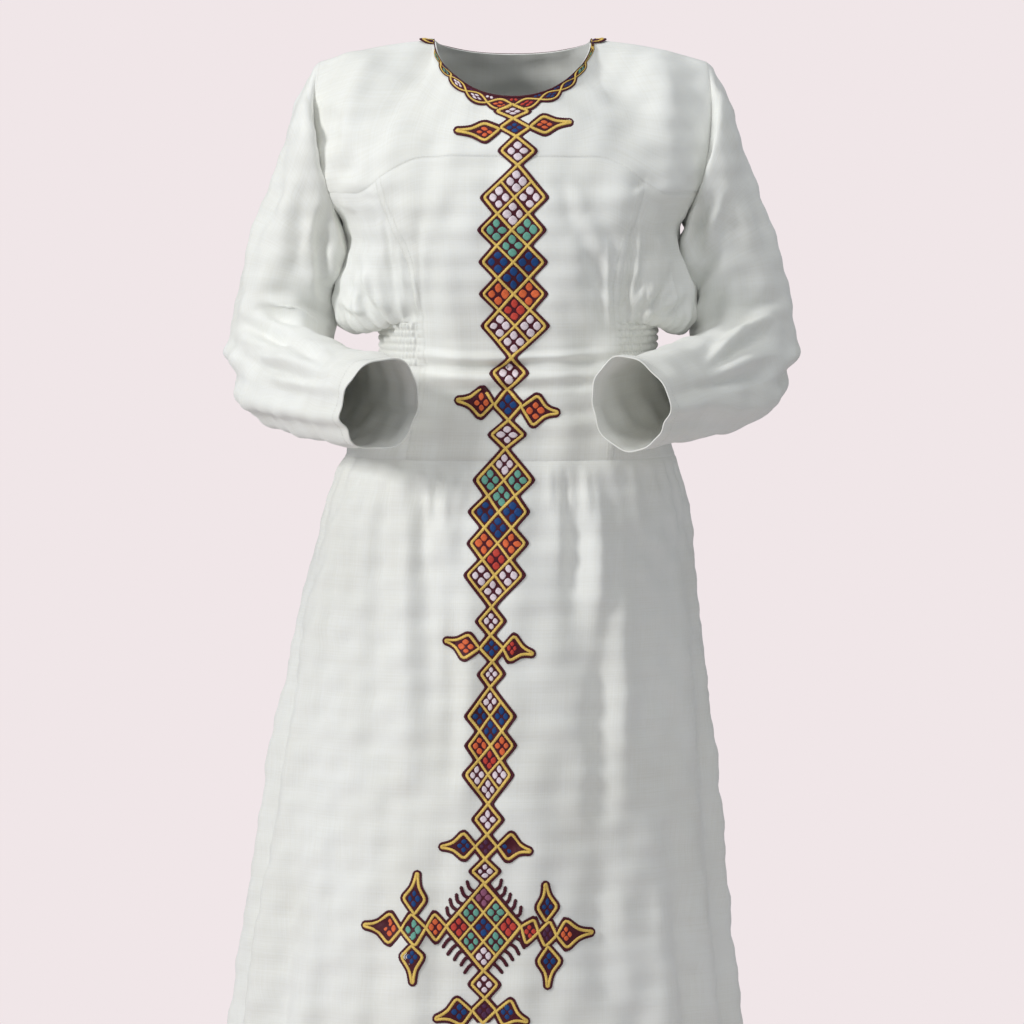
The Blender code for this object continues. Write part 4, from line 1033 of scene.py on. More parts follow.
def stretched_noise(tree, place, across, along, detail):
    """Noise on the cloth's own lengths, drawn out by different numbers across and along."""
    mapping = add_node(tree, "ShaderNodeMapping")
    mapping.inputs["Scale"].default_value = (across, along, 1.0)
    tree.links.new(place, mapping.inputs["Vector"])
    noise = add_node(tree, "ShaderNodeTexNoise", Scale=1.0, Detail=detail, Roughness=0.55)
    tree.links.new(mapping.outputs["Vector"], noise.inputs["Vector"])
    return noise.outputs["Fac"]


def cotton_material(name, weave, strength):
    """Plain-woven cotton: warp and weft as two crossed sines, with slubs, and a warm shade that drifts."""
    made, tree, shader = new_material(name, 0.88, 0.22, 0.45)
    place = add_node(tree, "ShaderNodeUVMap", uv_map="lengths").outputs["UV"]
    parts = add_node(tree, "ShaderNodeSeparateXYZ")
    tree.links.new(place, parts.inputs["Vector"])
    warp_noise = stretched_noise(tree, place, 900.0, 14.0, 2.0)
    weft_noise = stretched_noise(tree, place, 14.0, 900.0, 2.0)
    turns = 2 * math.pi / weave
    warp = math_node(tree, "SINE", math_node(tree, "MULTIPLY", parts.outputs["X"], turns))
    weft = math_node(tree, "SINE", math_node(tree, "MULTIPLY", parts.outputs["Y"], turns))
    crossing = math_node(tree, "MULTIPLY", warp, weft)
    slubs = math_node(tree, "ADD", warp_noise, weft_noise)
    height = math_node(tree, "MULTIPLY_ADD", crossing, 0.35, slubs)
    bump = add_node(tree, "ShaderNodeBump", Strength=strength, Distance=0.00030)
    tree.links.new(height, bump.inputs["Height"])
    tree.links.new(bump.outputs["Normal"], shader.inputs["Normal"])
    drift = stretched_noise(tree, place, 7.0, 5.0, 3.0)
    shade = math_node(tree, "MULTIPLY_ADD", math_node(tree, "SUBTRACT", slubs, 1.0), 0.5, drift)
    ramp = add_node(tree, "ShaderNodeValToRGB")
    ramp.color_ramp.elements[0].position = 0.30
    ramp.color_ramp.elements[0].color = linear(COTTON_SHADE)
    ramp.color_ramp.elements[1].position = 0.62
    ramp.color_ramp.elements[1].color = linear(COTTON)
    tree.links.new(shade, ramp.inputs["Fac"])
    tree.links.new(ramp.outputs["Color"], shader.inputs["Base Color"])
    shader.inputs["Subsurface Weight"].default_value = 0.12
    shader.inputs["Subsurface Radius"].default_value = (0.0016, 0.0015, 0.0013)
    shader.inputs["Subsurface Scale"].default_value = 1.0
    return made


def thread_material(name, colour, along=1150.0, across=2600.0):
    """Cotton embroidery floss: fine strands as stretched noise, with painted shade between them and painted light on
    their crests, random patches of tone, and a soft sheen.
    """
    made, tree, shader = new_material(name, 0.55, 0.12, 0.35)
    place = add_node(tree, "ShaderNodeUVMap", uv_map="lengths").outputs["UV"]
    strands = stretched_noise(tree, place, along, across, 2.0)
    patches = stretched_noise(tree, place, 160.0, 160.0, 2.0)
    # The ramp paints shade into the low places between the strands, which the bump also sinks, and lighter colour on
    # their crests; the patches vary the tone at random.
    painted_strand_shade_and_patches = math_node(tree, "MULTIPLY_ADD", strands, 0.65, math_node(tree, "MULTIPLY", patches, 0.35))
    ramp = add_node(tree, "ShaderNodeValToRGB")
    light = linear(colour)
    ramp.color_ramp.elements[0].position = 0.34
    ramp.color_ramp.elements[0].color = (*[share * 0.58 for share in light[:3]], 1.0)
    ramp.color_ramp.elements[1].position = 0.60
    ramp.color_ramp.elements[1].color = (*[min(1.0, share * 1.14) for share in light[:3]], 1.0)
    tree.links.new(painted_strand_shade_and_patches, ramp.inputs["Fac"])
    tree.links.new(ramp.outputs["Color"], shader.inputs["Base Color"])
    bump = add_node(tree, "ShaderNodeBump", Strength=0.55, Distance=0.00035)
    tree.links.new(strands, bump.inputs["Height"])
    tree.links.new(bump.outputs["Normal"], shader.inputs["Normal"])
    return made


def plain_material(name, colour, roughness):
    """A matt ground for the studio floor, with a very faint mottling."""
    made, tree, shader = new_material(name, roughness, 0.0, 0.5)
    place = add_node(tree, "ShaderNodeTexCoord").outputs["Object"]
    mottle = stretched_noise(tree, place, 3.0, 3.0, 2.0)
    ramp = add_node(tree, "ShaderNodeValToRGB")
    light = linear(colour)
    ramp.color_ramp.elements[0].color = (*[share * 0.97 for share in light[:3]], 1.0)
    ramp.color_ramp.elements[1].color = light
    tree.links.new(mottle, ramp.inputs["Fac"])
    tree.links.new(ramp.outputs["Color"], shader.inputs["Base Color"])
    return made


def grid_quads(rows, columns, wrap=False):
    """Corners of the faces between neighbouring points of a grid, as rows of four numbers."""
    number = np.arange(rows * columns).reshape(rows, columns)
    if wrap:
        number = np.concatenate([number, number[:, :1]], axis=1)
    corners = (number[:-1, :-1], number[1:, :-1], number[1:, 1:], number[:-1, 1:])
    return np.stack(corners, axis=-1).reshape(-1, 4)


def make_mesh(name, points, faces, uv, material, loop_uv=None):
    """A mesh object from points and faces, with its UV map in metres of its own surface."""
    mesh = bpy.data.meshes.new(name)
    mesh.from_pydata(points.reshape(-1, 3).tolist(), [], faces)
    layer = mesh.uv_layers.new(name="lengths")
    if loop_uv is None:
        corner = np.empty(len(mesh.loops), np.int32)
        mesh.loops.foreach_get("vertex_index", corner)
        loop_uv = uv.reshape(-1, 2)[corner]
    layer.data.foreach_set("uv", loop_uv.astype(np.float32).ravel())
    mesh.shade_smooth()
    mesh.materials.append(material)
    piece = bpy.data.objects.new(name, mesh)
    bpy.context.scene.collection.objects.link(piece)
    return piece


def panel(name, grid, material):
    """A panel of cloth: its outer surface as a grid of points, with its wall behind it."""
    wrap = name.startswith("sleeve")
    rows, columns = grid.shape[:2]
    faces = grid_quads(rows, columns, wrap)
    closed = np.concatenate([grid, grid[:, :1]], axis=1) if wrap else grid
    away = edges_away(closed)
    centre = closed.shape[1] // 2
    across = away["left"] - away["left"][:, centre : centre + 1]
    lengths = np.stack([across, -away["top"][:, centre : centre + 1] + 0 * across], axis=-1)
    extended = grid_quads(rows, closed.shape[1])
    corners = lengths.reshape(-1, 2)[extended.ravel()]
    piece = make_mesh(f"{name}_cloth", grid, faces.tolist(), None, material, corners)
    mesh = piece.data
    ends = np.empty(len(mesh.edges) * 2, np.int32)
    mesh.edges.foreach_get("vertices", ends)
    row, column = np.divmod(ends.reshape(-1, 2), columns)
    rim = ((row == 0).all(1)) | ((row == rows - 1).all(1))
    if not wrap:
        rim |= ((column == 0).all(1)) | ((column == columns - 1).all(1))
    mesh.attributes.new("sharp_edge", "BOOLEAN", "EDGE").data.foreach_set("value", rim)
    thicken = piece.modifiers.new("wall", "SOLIDIFY")
    thicken.thickness = WALL
    thicken.offset = -1
    thicken.use_rim = True
    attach(piece, "root")
    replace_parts(piece, name)
    return piece


def bodice():
    """Grids of the yokes, the centre panels, the side panels, and the waist and hips below them."""
    made = {}
    for front, name, rows in ((True, "front_yoke", YOKE_ROWS), (False, "back_yoke", BACK_YOKE_ROWS)):
        t = np.linspace(1, 0, rows + 1)[:, None]
        grid = yoke(yoke_shares()[:: 1 if front else BACK_THINNING], t, front)
        grid = grid if front else grid[:, ::-1]
        away = edges_away(grid)
        fade = step_up(np.minimum(away["left"], away["right"]) / 0.018)
        grid = worn(name, grid, fade * step_up(away["top"] / 0.012))
        made[name] = seam_relief(grid, ("left", "right", "bottom"))
    for front, name in ((True, "centre_front"), (False, "centre_back")):
        thin = 1 if front else BACK_THINNING
        share = np.linspace(-1, 1, CENTRE_STEPS + 1)[::thin]
        top = yoke_z(share * top_angle())
        level = np.linspace(0, 1, CHEST_ROWS + 1)[:-1:thin, None] ** LEVEL_POWER
        upper = top + (SHIRRING_TOP_Z - top) * level
        waist = np.linspace(SHIRRING_TOP_Z, SHIRRING_BOTTOM_Z, WAIST_ROWS + 1)[:-1:thin]
        hip = np.linspace(SHIRRING_BOTTOM_Z, SKIRT_TOP_Z, HIP_ROWS + 1)[::thin]
        lower = np.concatenate([waist, hip])[:, None] + 0 * share
        z = np.concatenate([upper, lower])
        angle = share * princess_angle(z)
        grid = worn(name, torso(angle if front else np.pi + angle, z))
        grid = seam_relief(grid, ("left", "right"), fold=SEAM_FOLD)
        made[name] = seam_relief(grid, ("top", "bottom"))
    for side, hand in ((-1, "right"), (1, "left")):
        name = f"side_panel_{hand}"
        grid = side_grid(side_shares(), side, CHEST_ROWS + 1)
        away = edges_away(grid)
        fade = step_up(away["top"] / 0.016) * step_up(away["bottom"] / 0.006)
        grid = worn(name, fine_gathers(grid, side), fade)
        made[name] = seam_relief(grid, ("left", "right", "top"))
        share = np.linspace(0, 1, BAND_STEPS + 1)
        grid = worn(f"side_waist_{hand}", band_grid(share, side, SHIRRING_BOTTOM_Z, SKIRT_TOP_Z, HIP_ROWS + 1))
        made[f"side_waist_{hand}"] = seam_relief(grid, ("left", "right", "top", "bottom"))
        made[f"shirred_waist_{hand}"] = shirred_grid(side)
    return made


def edge_of(grid, side, numbers):
    """The points of one edge of a grid, those of the given numbers in that order."""
    return {"top": grid[0], "bottom": grid[-1], "left": grid[:, 0], "right": grid[:, -1]}[side][numbers]


def drawn_to(grid, side, numbers, target):
    """Moves the numbered points of an edge to a target, and the cloth beside it by a falling share."""
    shift = target - edge_of(grid, side, numbers)
    share = np.exp(-((edges_away(grid)[side] / JOIN_REACH) ** 2))
    if side in ("top", "bottom"):
        grid[:, numbers] += share[:, numbers, None] * shift
    else:
        grid[numbers] += share[numbers][..., None] * shift[:, None]


def along_line(line, places, at):
    """A line of points read at other places along it, on its straight steps."""
    return np.stack([np.interp(at, places, line[:, axis]) for axis in range(3)], axis=-1)


def join(cloth, one, other):
    """Brings two edges together halfway, the finer one onto the straight steps of the coarser."""
    ends = []
    for name, side, numbers, places in (one, other):
        line = edge_of(cloth[name], side, numbers)
        ends.append((line, np.linspace(0, 1, len(line)) if places is None else places))
    (line_one, at_one), (line_other, at_other) = ends
    if len(line_one) >= len(line_other):
        meet_other = (line_other + along_line(line_one, at_one, at_other)) / 2
        meet_one = along_line(meet_other, at_other, at_one)
    else:
        meet_one = (line_one + along_line(line_other, at_other, at_one)) / 2
        meet_other = along_line(meet_one, at_one, at_other)
    drawn_to(cloth[one[0]], one[1], one[2], meet_one)
    drawn_to(cloth[other[0]], other[1], other[2], meet_other)


def seams_of_bodice():
    """Every pair of edges that are sewn together: piece, side, numbers along it, and their places."""
    thin, every = BACK_THINNING, np.arange
    beside, middle = SIDE_STEPS, CENTRE_STEPS
    whole = beside * 2 + middle
    yoke_rows, back_rows = every(YOKE_ROWS + 1), every(BACK_YOKE_ROWS + 1)
    low = CHEST_ROWS + WAIST_ROWS
    parts = {"side_panel": (0, CHEST_ROWS), "shirred_waist": (CHEST_ROWS, low), "side_waist": (low, low + HIP_ROWS)}
    seams = [
        (("front_yoke", "bottom", every(beside, beside + middle + 1)), ("centre_front", "top", every(middle + 1))),
        (
            ("back_yoke", "bottom", every(beside // thin, (beside + middle) // thin + 1)),
            ("centre_back", "top", every(middle // thin + 1)),
        ),
    ]
    for hand, first, last in (("right", "right", "left"), ("left", "left", "right")):
        panel_name = f"side_panel_{hand}"
        front_cols = every(beside + 1) if hand == "right" else every(whole - beside, whole + 1)
        panel_front = every(2 * beside, 3 * beside + 1) if hand == "right" else every(beside + 1)
        panel_back = every(beside + 1) if hand == "right" else every(2 * beside, 3 * beside + 1)
        back_cols = every((whole - beside) // thin, whole // thin + 1) if hand == "right" else every(beside // thin + 1)
        seams.append((("front_yoke", "bottom", front_cols), (panel_name, "top", panel_front)))
        seams.append((("back_yoke", "bottom", back_cols), (panel_name, "top", panel_back)))
        for part, (start, stop) in parts.items():
            rows = every(stop - start + 1)
            seams.append(((f"{part}_{hand}", first, rows), ("centre_front", last, rows + start)))
            back = every(start // thin, stop // thin + 1)
            seams.append(((f"{part}_{hand}", last, rows), ("centre_back", first, back)))
        shirred, band = every(SHIRRED_STEPS + 1), every(BAND_STEPS + 1)
        seams.append((("side_waist_" + hand, "top", band), (f"shirred_waist_{hand}", "bottom", shirred)))
        seams.append(
            ((panel_name, "bottom", every(3 * beside + 1), side_shares()), (f"shirred_waist_{hand}", "top", shirred))
        )
        ring = 2 * YOKE_ROWS + beside
        turn = 1 if hand == "right" else -1
        under = every(2 * beside, beside - 1, -1) if hand == "right" else every(beside, 2 * beside + 1)
        sleeve_name = f"sleeve_{hand}"
        seams.append(((sleeve_name, "top", turn * yoke_rows % ring), ("front_yoke", last, yoke_rows)))
        after = YOKE_ROWS + every(beside + 1)
        seams.append(((sleeve_name, "top", turn * after % ring), (panel_name, "top", under)))
        behind = (YOKE_ROWS + beside + yoke_rows) % ring
        seams.append(((sleeve_name, "top", turn * behind % ring), ("back_yoke", first, back_rows[::-1])))
    return seams


def sewn_together(cloth):
    """Joins every seam a few times over, because corners belong to several, then hangs the skirt on."""
    for _ in range(JOIN_ROUNDS):
        for one, other in seams_of_bodice():
            join(cloth, (*one, None)[:4], (*other, None)[:4])
    loop = [
        cloth["centre_front"][-1],
        cloth["side_waist_left"][-1],
        cloth["centre_back"][-1],
        cloth["side_waist_right"][-1],
    ]
    loop = np.concatenate([line[:-1] for line in loop])
    turn = np.arctan2(loop[:, 0], -loop[:, 1])
    loop, turn = loop[np.argsort(turn)], np.sort(turn)
    loop = np.concatenate([loop[-1:], loop, loop[:1]])
    turn = np.concatenate([turn[-1:] - 2 * np.pi, turn, turn[:1] + 2 * np.pi])
    for name in ("skirt_front", "skirt_back"):
        top = cloth[name][0]
        at = np.arctan2(top[:, 0], -top[:, 1])
        drawn_to(cloth[name], "top", np.arange(len(top)), along_line(loop, turn, at))
    for side in ("left", "right"):
        front, back = cloth["skirt_front"], cloth["skirt_back"]
        numbers = np.arange(len(front)), np.arange(len(back))
        other = "right" if side == "left" else "left"
        depth = [np.clip((grid[0, 0, 2] - edge_of(grid, one, every)[:, 2]), 0, 2)
                 for grid, one, every in ((front, side, numbers[0]), (back, other, numbers[1]))]
        join(
            cloth,
            ("skirt_front", side, numbers[0], depth[0] / depth[0][-1]),
            ("skirt_back", other, numbers[1], depth[1] / depth[1][-1]),
        )
    return cloth


def fine_gathers(grid, side):
    """Small uneven gathers that fan up from the shirring: sines across, sharpened, fading upwards."""
    away = edges_away(grid)
    across = away["left"] / away["left"][:, -1:]
    height = away["bottom"]
    wander = 0.5 * np.sin(across * 19.0 + side) + 0.35 * np.sin(across * 43.0 + 2.0)
    wave = np.cos(2 * np.pi * (FINE_GATHERS * across + wander * (1 - np.exp(-height / 0.09))))
    reach = 0.030 + 0.022 * np.sin(across * 31.0 + 0.7 * side) ** 2
    depth = FINE_GATHER_DEPTH * np.exp(-((height / reach) ** 1.5)) * step_up(height / 0.003)
    return grid + outwards(grid) * (depth * (np.abs(wave) ** 0.6) * np.sign(wave))[..., None]


def shirred_grid(side):
    """Rows of elastic gathers: puffs between the rows, as half sines down times uneven waves across."""
    share = np.linspace(0, 1, SHIRRED_STEPS + 1)
    rows = ROWS_PER_GATHER * SHIRRING_ROWS + 1
    grid = band_grid(share, side, SHIRRING_TOP_Z, SHIRRING_BOTTOM_Z, rows)
    row = np.linspace(0, SHIRRING_ROWS, rows)[:, None]
    puff = np.abs(np.sin(np.pi * row)) ** 0.6
    wave = np.cos(2 * np.pi * PUCKERS * share + 1.1 * np.sin(7 * share + np.floor(row) * 1.9))
    wave = wave + 0.5 * np.cos(2 * np.pi * PUCKERS * 1.73 * share + np.floor(row) * 2.3)
    rise = puff * (PUFF_DEPTH + PUCKER_DEPTH * wave)
    return grid + outwards(grid) * (rise - ELASTIC_SINK)[..., None]


def sleeves():
    """Two long set-in sleeves, bent at the elbow and creased there, with narrow hems at the cuffs."""
    made = {}
    for side, hand in ((-1, "right"), (1, "left")):
        name = f"sleeve_{hand}"
        grid = sleeve(side, SLEEVE_ROWS_DOWN)
        away = edges_away(grid)["top"]
        grid = worn(name, grid, step_up(away / 0.022), wrap=True)
        roll = SLEEVE_ROLL_DEPTH * bump(away - SLEEVE_ROLL_AT, SLEEVE_ROLL_BREADTH)
        grid = grid + outwards(grid, True) * roll[..., None]
        grid = seam_relief(grid, ("top",), wrap=True)
        made[name] = hem_relief(grid, CUFF_HEM, wrap=True)
    return made


def skirts():
    """Front and back of the skirt, gathered lightly into the seam, with side seams and a hem."""
    made = {}
    for start, name, steps, rows in (
        (-90, "skirt_front", SKIRT_STEPS, SKIRT_ROWS_DOWN),
        (90, "skirt_back", SKIRT_BACK_STEPS, SKIRT_BACK_ROWS_DOWN),
    ):
        z = SKIRT_TOP_Z + (HEM_Z - SKIRT_TOP_Z) * np.linspace(0, 1, rows + 1)[:, None] ** 1.15
        theta = np.radians(np.linspace(start, start + 180, steps + 1))
        grid = worn(name, skirt(theta[None, :], z))
        made[name] = hem_relief(seam_relief(grid, ("top", "left", "right")), SKIRT_HEM)
    return made


class Needlework:
    """Gathers many stitched shapes of one thread, and makes them into one mesh."""

    def __init__(self):
        self.points, self.faces, self.lengths, self.count = [], [], [], 0

    def add(self, points, faces, lengths):
        """Adds one shape's points, its faces as lists of corners, and its own lengths."""
        self.points.append(points.reshape(-1, 3))
        self.lengths.append(lengths.reshape(-1, 2))
        self.faces += [[corner + self.count for corner in face] for face in faces]
        self.count += len(self.points[-1])

    def made(self, name, material, slot="embroidery"):
        """The finished piece, riding on the dress."""
        points, lengths = np.concatenate(self.points), np.concatenate(self.lengths)
        piece = make_mesh(name, points, self.faces, lengths, material)
        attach(piece, "root")
        return piece


def evenly(x, z, step, closed=False):
    """The same line with points at even distances along it."""
    if closed:
        x, z = np.append(x, x[0]), np.append(z, z[0])
    far = np.concatenate([[0], np.cumsum(np.hypot(np.diff(x), np.diff(z)))])
    count = max(4, int(round(far[-1] / step)) + 1)
    at = np.linspace(0, far[-1], count)
    if closed:
        at = at[:-1]
    return np.interp(at, far, x), np.interp(at, far, z)


def rounded(x, z, reach, step, closed=False):
    """Rounds a line's corners: each point becomes the bell-weighted mean of those within reach."""
    x, z = evenly(x, z, step, closed)
    half = max(1, int(round(reach / step)))
    weight = np.hanning(2 * half + 3)[1:-1]
    weight /= weight.sum()
    smoothed = []
    for line in (x, z):
        if closed:
            padded = np.concatenate([line[-half:], line, line[:half]])
        else:
            near = np.clip(np.arange(half, 0, -1), 0, len(line) - 1)
            before = 2 * line[0] - line[near]
            after = 2 * line[-1] - line[-1 - near[::-1]]
            padded = np.concatenate([before, line, after])
        smoothed.append(np.convolve(padded, weight, mode="valid"))
    return smoothed


def cord(work, x, z, half, rise, base, place, closed=False, pitch=STITCH_PITCH):
    """A raised line of stitches: an ellipse carried along a line, swelling once for each stitch.

    place lays flat points on the cloth; rise is how high the line stands, from base upwards.
    """
    x, z = evenly(x, z, CORD_STEP, closed)
    if closed:
        run_x, run_z = np.roll(x, -1) - np.roll(x, 1), np.roll(z, -1) - np.roll(z, 1)
    else:
        run_x, run_z = np.gradient(x), np.gradient(z)
    size = np.hypot(run_x, run_z)
    run_x, run_z = run_x / size, run_z / size
    far = np.arange(len(x)) * CORD_STEP
    turn = np.arange(CORD_SIDES) * (2 * np.pi / CORD_SIDES)
    swell = 1 + 0.13 * np.sin(2 * np.pi * far[:, None] / pitch + 1.2 * np.cos(turn))
    if not closed:
        end = np.minimum(far, far[-1] - far)[:, None] / half
        swell = swell * np.sqrt(np.clip(end, 0.02, 1) * (2 - np.clip(end, 0.02, 1)))
    aside = half * np.cos(turn) * swell
    lift = base + rise * (0.42 + 0.58 * np.sin(turn)) * swell
    points = place(x[:, None] + run_z[:, None] * aside, z[:, None] - run_x[:, None] * aside, lift)
    rows = len(x)
    grid = grid_quads(rows + 1 if closed else rows, CORD_SIDES, wrap=True) % (rows * CORD_SIDES)
    faces = grid.tolist()
    if not closed:
        faces.append(list(range(CORD_SIDES)))
        faces.append(list(range(rows * CORD_SIDES - 1, (rows - 1) * CORD_SIDES - 1, -1)))
    lengths = np.stack(np.broadcast_arrays(far[:, None], half * np.sin(turn / 2) * 2), axis=-1)
    work.add(points, faces, lengths)


def cushions(work, x, z, half_x, half_z, turn, rise, base, place):
    """Small cushions of satin stitch: rings of a rounded lozenge, each lower towards its edge."""
    x, z, half_x, half_z, turn = np.broadcast_arrays(
        *[np.asarray(value, float) for value in (x, z, half_x, half_z, turn)]
    )
    angle = np.arange(PETAL_SIDES) * (2 * np.pi / PETAL_SIDES)
    power = PETAL_SQUARENESS
    reach = (np.abs(np.cos(angle)) ** power + np.abs(np.sin(angle)) ** power) ** (-1 / power)
    ring, high = np.array(PETAL_RINGS).T
    local_x = half_x[:, None, None] * ring[:, None] * reach * np.cos(angle)
    local_z = half_z[:, None, None] * ring[:, None] * reach * np.sin(angle)
    cosine, sine = np.cos(turn)[:, None, None], np.sin(turn)[:, None, None]
    flat_x = local_x * cosine - local_z * sine
    flat_z = local_x * sine + local_z * cosine
    lift = base + rise * high[:, None] + 0 * flat_x
    points = place(x[:, None, None] + flat_x, z[:, None, None] + flat_z, lift)
    rings = len(ring)
    faces = grid_quads(rings, PETAL_SIDES, wrap=True).tolist()
    faces.append(list(range(PETAL_SIDES)))
    faces.append(list(range(rings * PETAL_SIDES - 1, (rings - 1) * PETAL_SIDES - 1, -1)))
    for shape, across, along in zip(points, flat_x, flat_z):
        work.add(shape, faces, np.stack([across, along], axis=-1))


def slab(work, x, z, rise, place):
    """The raised ground under a motif: a grid of places, thick in the middle and thin at its rim."""
    rows, columns = x.shape
    across = np.linspace(-1, 1, columns)[None, :]
    lift = GROUND_LIFT + rise * (1 - across**6) + 0 * x
    top, bottom = place(x, z, lift), place(x, z, 0 * lift + 0.0001)
    count = rows * columns
    faces = grid_quads(rows, columns).tolist()
    back = [[count + corner for corner in face[::-1]] for face in faces]
    edge = [row * columns for row in range(rows)]
    edge += [(rows - 1) * columns + column for column in range(1, columns)]
    edge += [row * columns + columns - 1 for row in range(rows - 2, -1, -1)]
    edge += list(range(columns - 2, 0, -1))
    rim = [[a, count + a, count + b, b] for a, b in zip(edge, edge[1:] + edge[:1])]
    lengths = np.stack([x, z], axis=-1)
    work.add(np.concatenate([top, bottom]), faces + back + rim, np.concatenate([lengths, lengths]))


def leaf_patch(work, centre, x, z, rise, place):
    """The raised ground of a leaf: its outline drawn in towards its centre, ring by ring."""
    ring = np.array([0.02, 0.3, 0.55, 0.75, 0.9, 1.0, 1.0])[:, None]
    lift = GROUND_LIFT + rise * np.array([1, 1, 1, 1, 1, 0.35, 0])[:, None] + 0 * x
    lift[-1] = 0.0001
    flat_x, flat_z = centre[0] + ring * (x - centre[0]), centre[1] + ring * (z - centre[1])
    points = place(flat_x, flat_z, lift)
    sides = len(x)
    faces = grid_quads(len(ring), sides, wrap=True).tolist()
    faces.append(list(range(sides)))
    faces.append(list(range(len(ring) * sides - 1, (len(ring) - 1) * sides - 1, -1)))
    work.add(points, faces, np.stack([flat_x, flat_z], axis=-1))


class FrontCloth:
    """Lays flat points (x, z) on the front of the dress, from a table of its depth worked out once."""

    def __init__(self):
        self.blocks = [
            self.block(-0.172, 0.100, -1.004, YOKE_CENTRE_Z),
            self.block(-0.076, 0.076, YOKE_CENTRE_Z, -0.0625),
        ]

    @staticmethod
    def block(left, right, bottom, top):
        """Depth and slopes of the creased front over one rectangle."""
        x = np.arange(left, right + FIELD_STEP, FIELD_STEP)
        z = np.arange(bottom, top + FIELD_STEP, FIELD_STEP)
        z = np.linspace(bottom, top, len(z))
        flat_x, flat_z = np.meshgrid(x, z)
        points = front_at(flat_x, flat_z)
        out = -outwards(points)
        out = out * -np.sign(out[..., 1:2])
        rise = ripples(points)
        for name, low, high in (
            ("front_yoke", YOKE_CENTRE_Z, 1.0),
            ("centre_front", SKIRT_TOP_Z, YOKE_CENTRE_Z),
            ("skirt_front", -9.0, SKIRT_TOP_Z),
        ):
            here = (flat_z > low) & (flat_z <= high)
            rise = rise + np.where(here, creased(name, points, out), 0)
        points = points + out * rise[..., None]
        depth = points[..., 1]
        slope_z, slope_x = np.gradient(depth, z, x)
        return left, bottom, x, z, np.stack([depth, slope_x, slope_z], axis=-1)

    def __call__(self, x, z, lift):
        """Points lift above the cloth at x and z, along its normal."""
        x, z, lift = np.broadcast_arrays(x, z, lift)
        read = np.where((z > YOKE_CENTRE_Z)[..., None], self.read(1, x, z), self.read(0, x, z))
        depth, slope_x, slope_z = np.moveaxis(read, -1, 0)
        out = np.stack([slope_x, -np.ones_like(slope_x), slope_z], axis=-1)
        out /= np.linalg.norm(out, axis=-1, keepdims=True)
        return np.stack([x, depth, z], axis=-1) + out * lift[..., None]

    def read(self, number, x, z):
        """The table's values at any place, in proportion between its four nearest points."""
        _, _, column_x, row_z, table = self.blocks[number]
        across = np.clip((x - column_x[0]) / (column_x[1] - column_x[0]), 0, len(column_x) - 1.001)
        up = np.clip((z - row_z[0]) / (row_z[1] - row_z[0]), 0, len(row_z) - 1.001)
        return between(table, up, across)


def between(table, row, column):
    """A table read at fractional places, in proportion between its four nearest points."""
    first_row, first_column = np.floor(row).astype(int), np.floor(column).astype(int)
    part_row, part_column = (row - first_row)[..., None], (column - first_column)[..., None]
    upper = table[first_row, first_column] * (1 - part_column) + table[first_row, first_column + 1] * part_column
    lower = table[first_row + 1, first_column] * (1 - part_column)
    lower = lower + table[first_row + 1, first_column + 1] * part_column
    return upper * (1 - part_row) + lower * part_row


class NeckCloth:
    """Lays flat points on the cloth round the neck: how far along the border, and how far up it.

    Along runs from the wearer's right shoulder over the front to the left one and back behind;
    up is 0 at the neck's edge and less than 0 away from it.
    """

    def __init__(self):
        seam_length = SHOULDER_TIP[0] - NECK_POINT[0]
        away = np.linspace(0, BORDER_DEPTH, 13)[:, None]
        loop = []
        for front in (True, False):
            way = np.linspace(-1, 1, 161) * (1 if front else -1)
            inner = way * NECK_SHARE
            edge = yoke(inner, np.ones(len(way)), front)
            below = yoke(inner, np.full(len(way), 1 - BORDER_REACH), front)
            drop = BORDER_REACH / np.linalg.norm(edge - below, axis=-1)
            share = inner + np.sin(way * np.pi / 2) * away * (1 - NECK_SHARE) / seam_length
            t = 1 - drop * np.cos(way * np.pi / 2) * away
            loop.append(yoke(share, t, front)[:, :-1])
        grid = np.concatenate(loop, axis=1)
        grid = grid + outwards(grid, wrap=True)[..., :] * ripples(grid)[..., None] * step_up(away / 0.012)[..., None]
        out = outwards(grid, wrap=True)
        middle = np.concatenate([grid[5], grid[5][:1]])
        self.far = np.concatenate([[0], np.cumsum(np.linalg.norm(np.diff(middle, axis=0), axis=-1))])
        self.shoulder = self.far[160]
        table = np.concatenate([grid, out], axis=-1)
        self.table = np.concatenate([table, table[:, :1]], axis=1)

    def cell(self, along):
        """The number of the border's cell at a place along it, cells counted on evenly."""
        return np.interp(along, [0, self.shoulder, self.far[-1]], [0, FRONT_CELLS, FRONT_CELLS + BACK_CELLS])

    def along(self, cell):
        """How far along the border a cell's number lies."""
        return np.interp(cell, [0, FRONT_CELLS, FRONT_CELLS + BACK_CELLS], [0, self.shoulder, self.far[-1]])

    def __call__(self, along, up, lift):
        """Points lift above the cloth of the neck."""
        along, up, lift = np.broadcast_arrays(along, up, lift)
        column = np.interp(along % self.far[-1], self.far, np.arange(len(self.far)))
        row = np.clip(-up / BORDER_DEPTH * 12, 0, 11.999)
        read = between(self.table, row, np.clip(column, 0, len(self.far) - 1.001))
        out = read[..., 3:] / np.linalg.norm(read[..., 3:], axis=-1, keepdims=True)
        return read[..., :3] + out * lift[..., None]


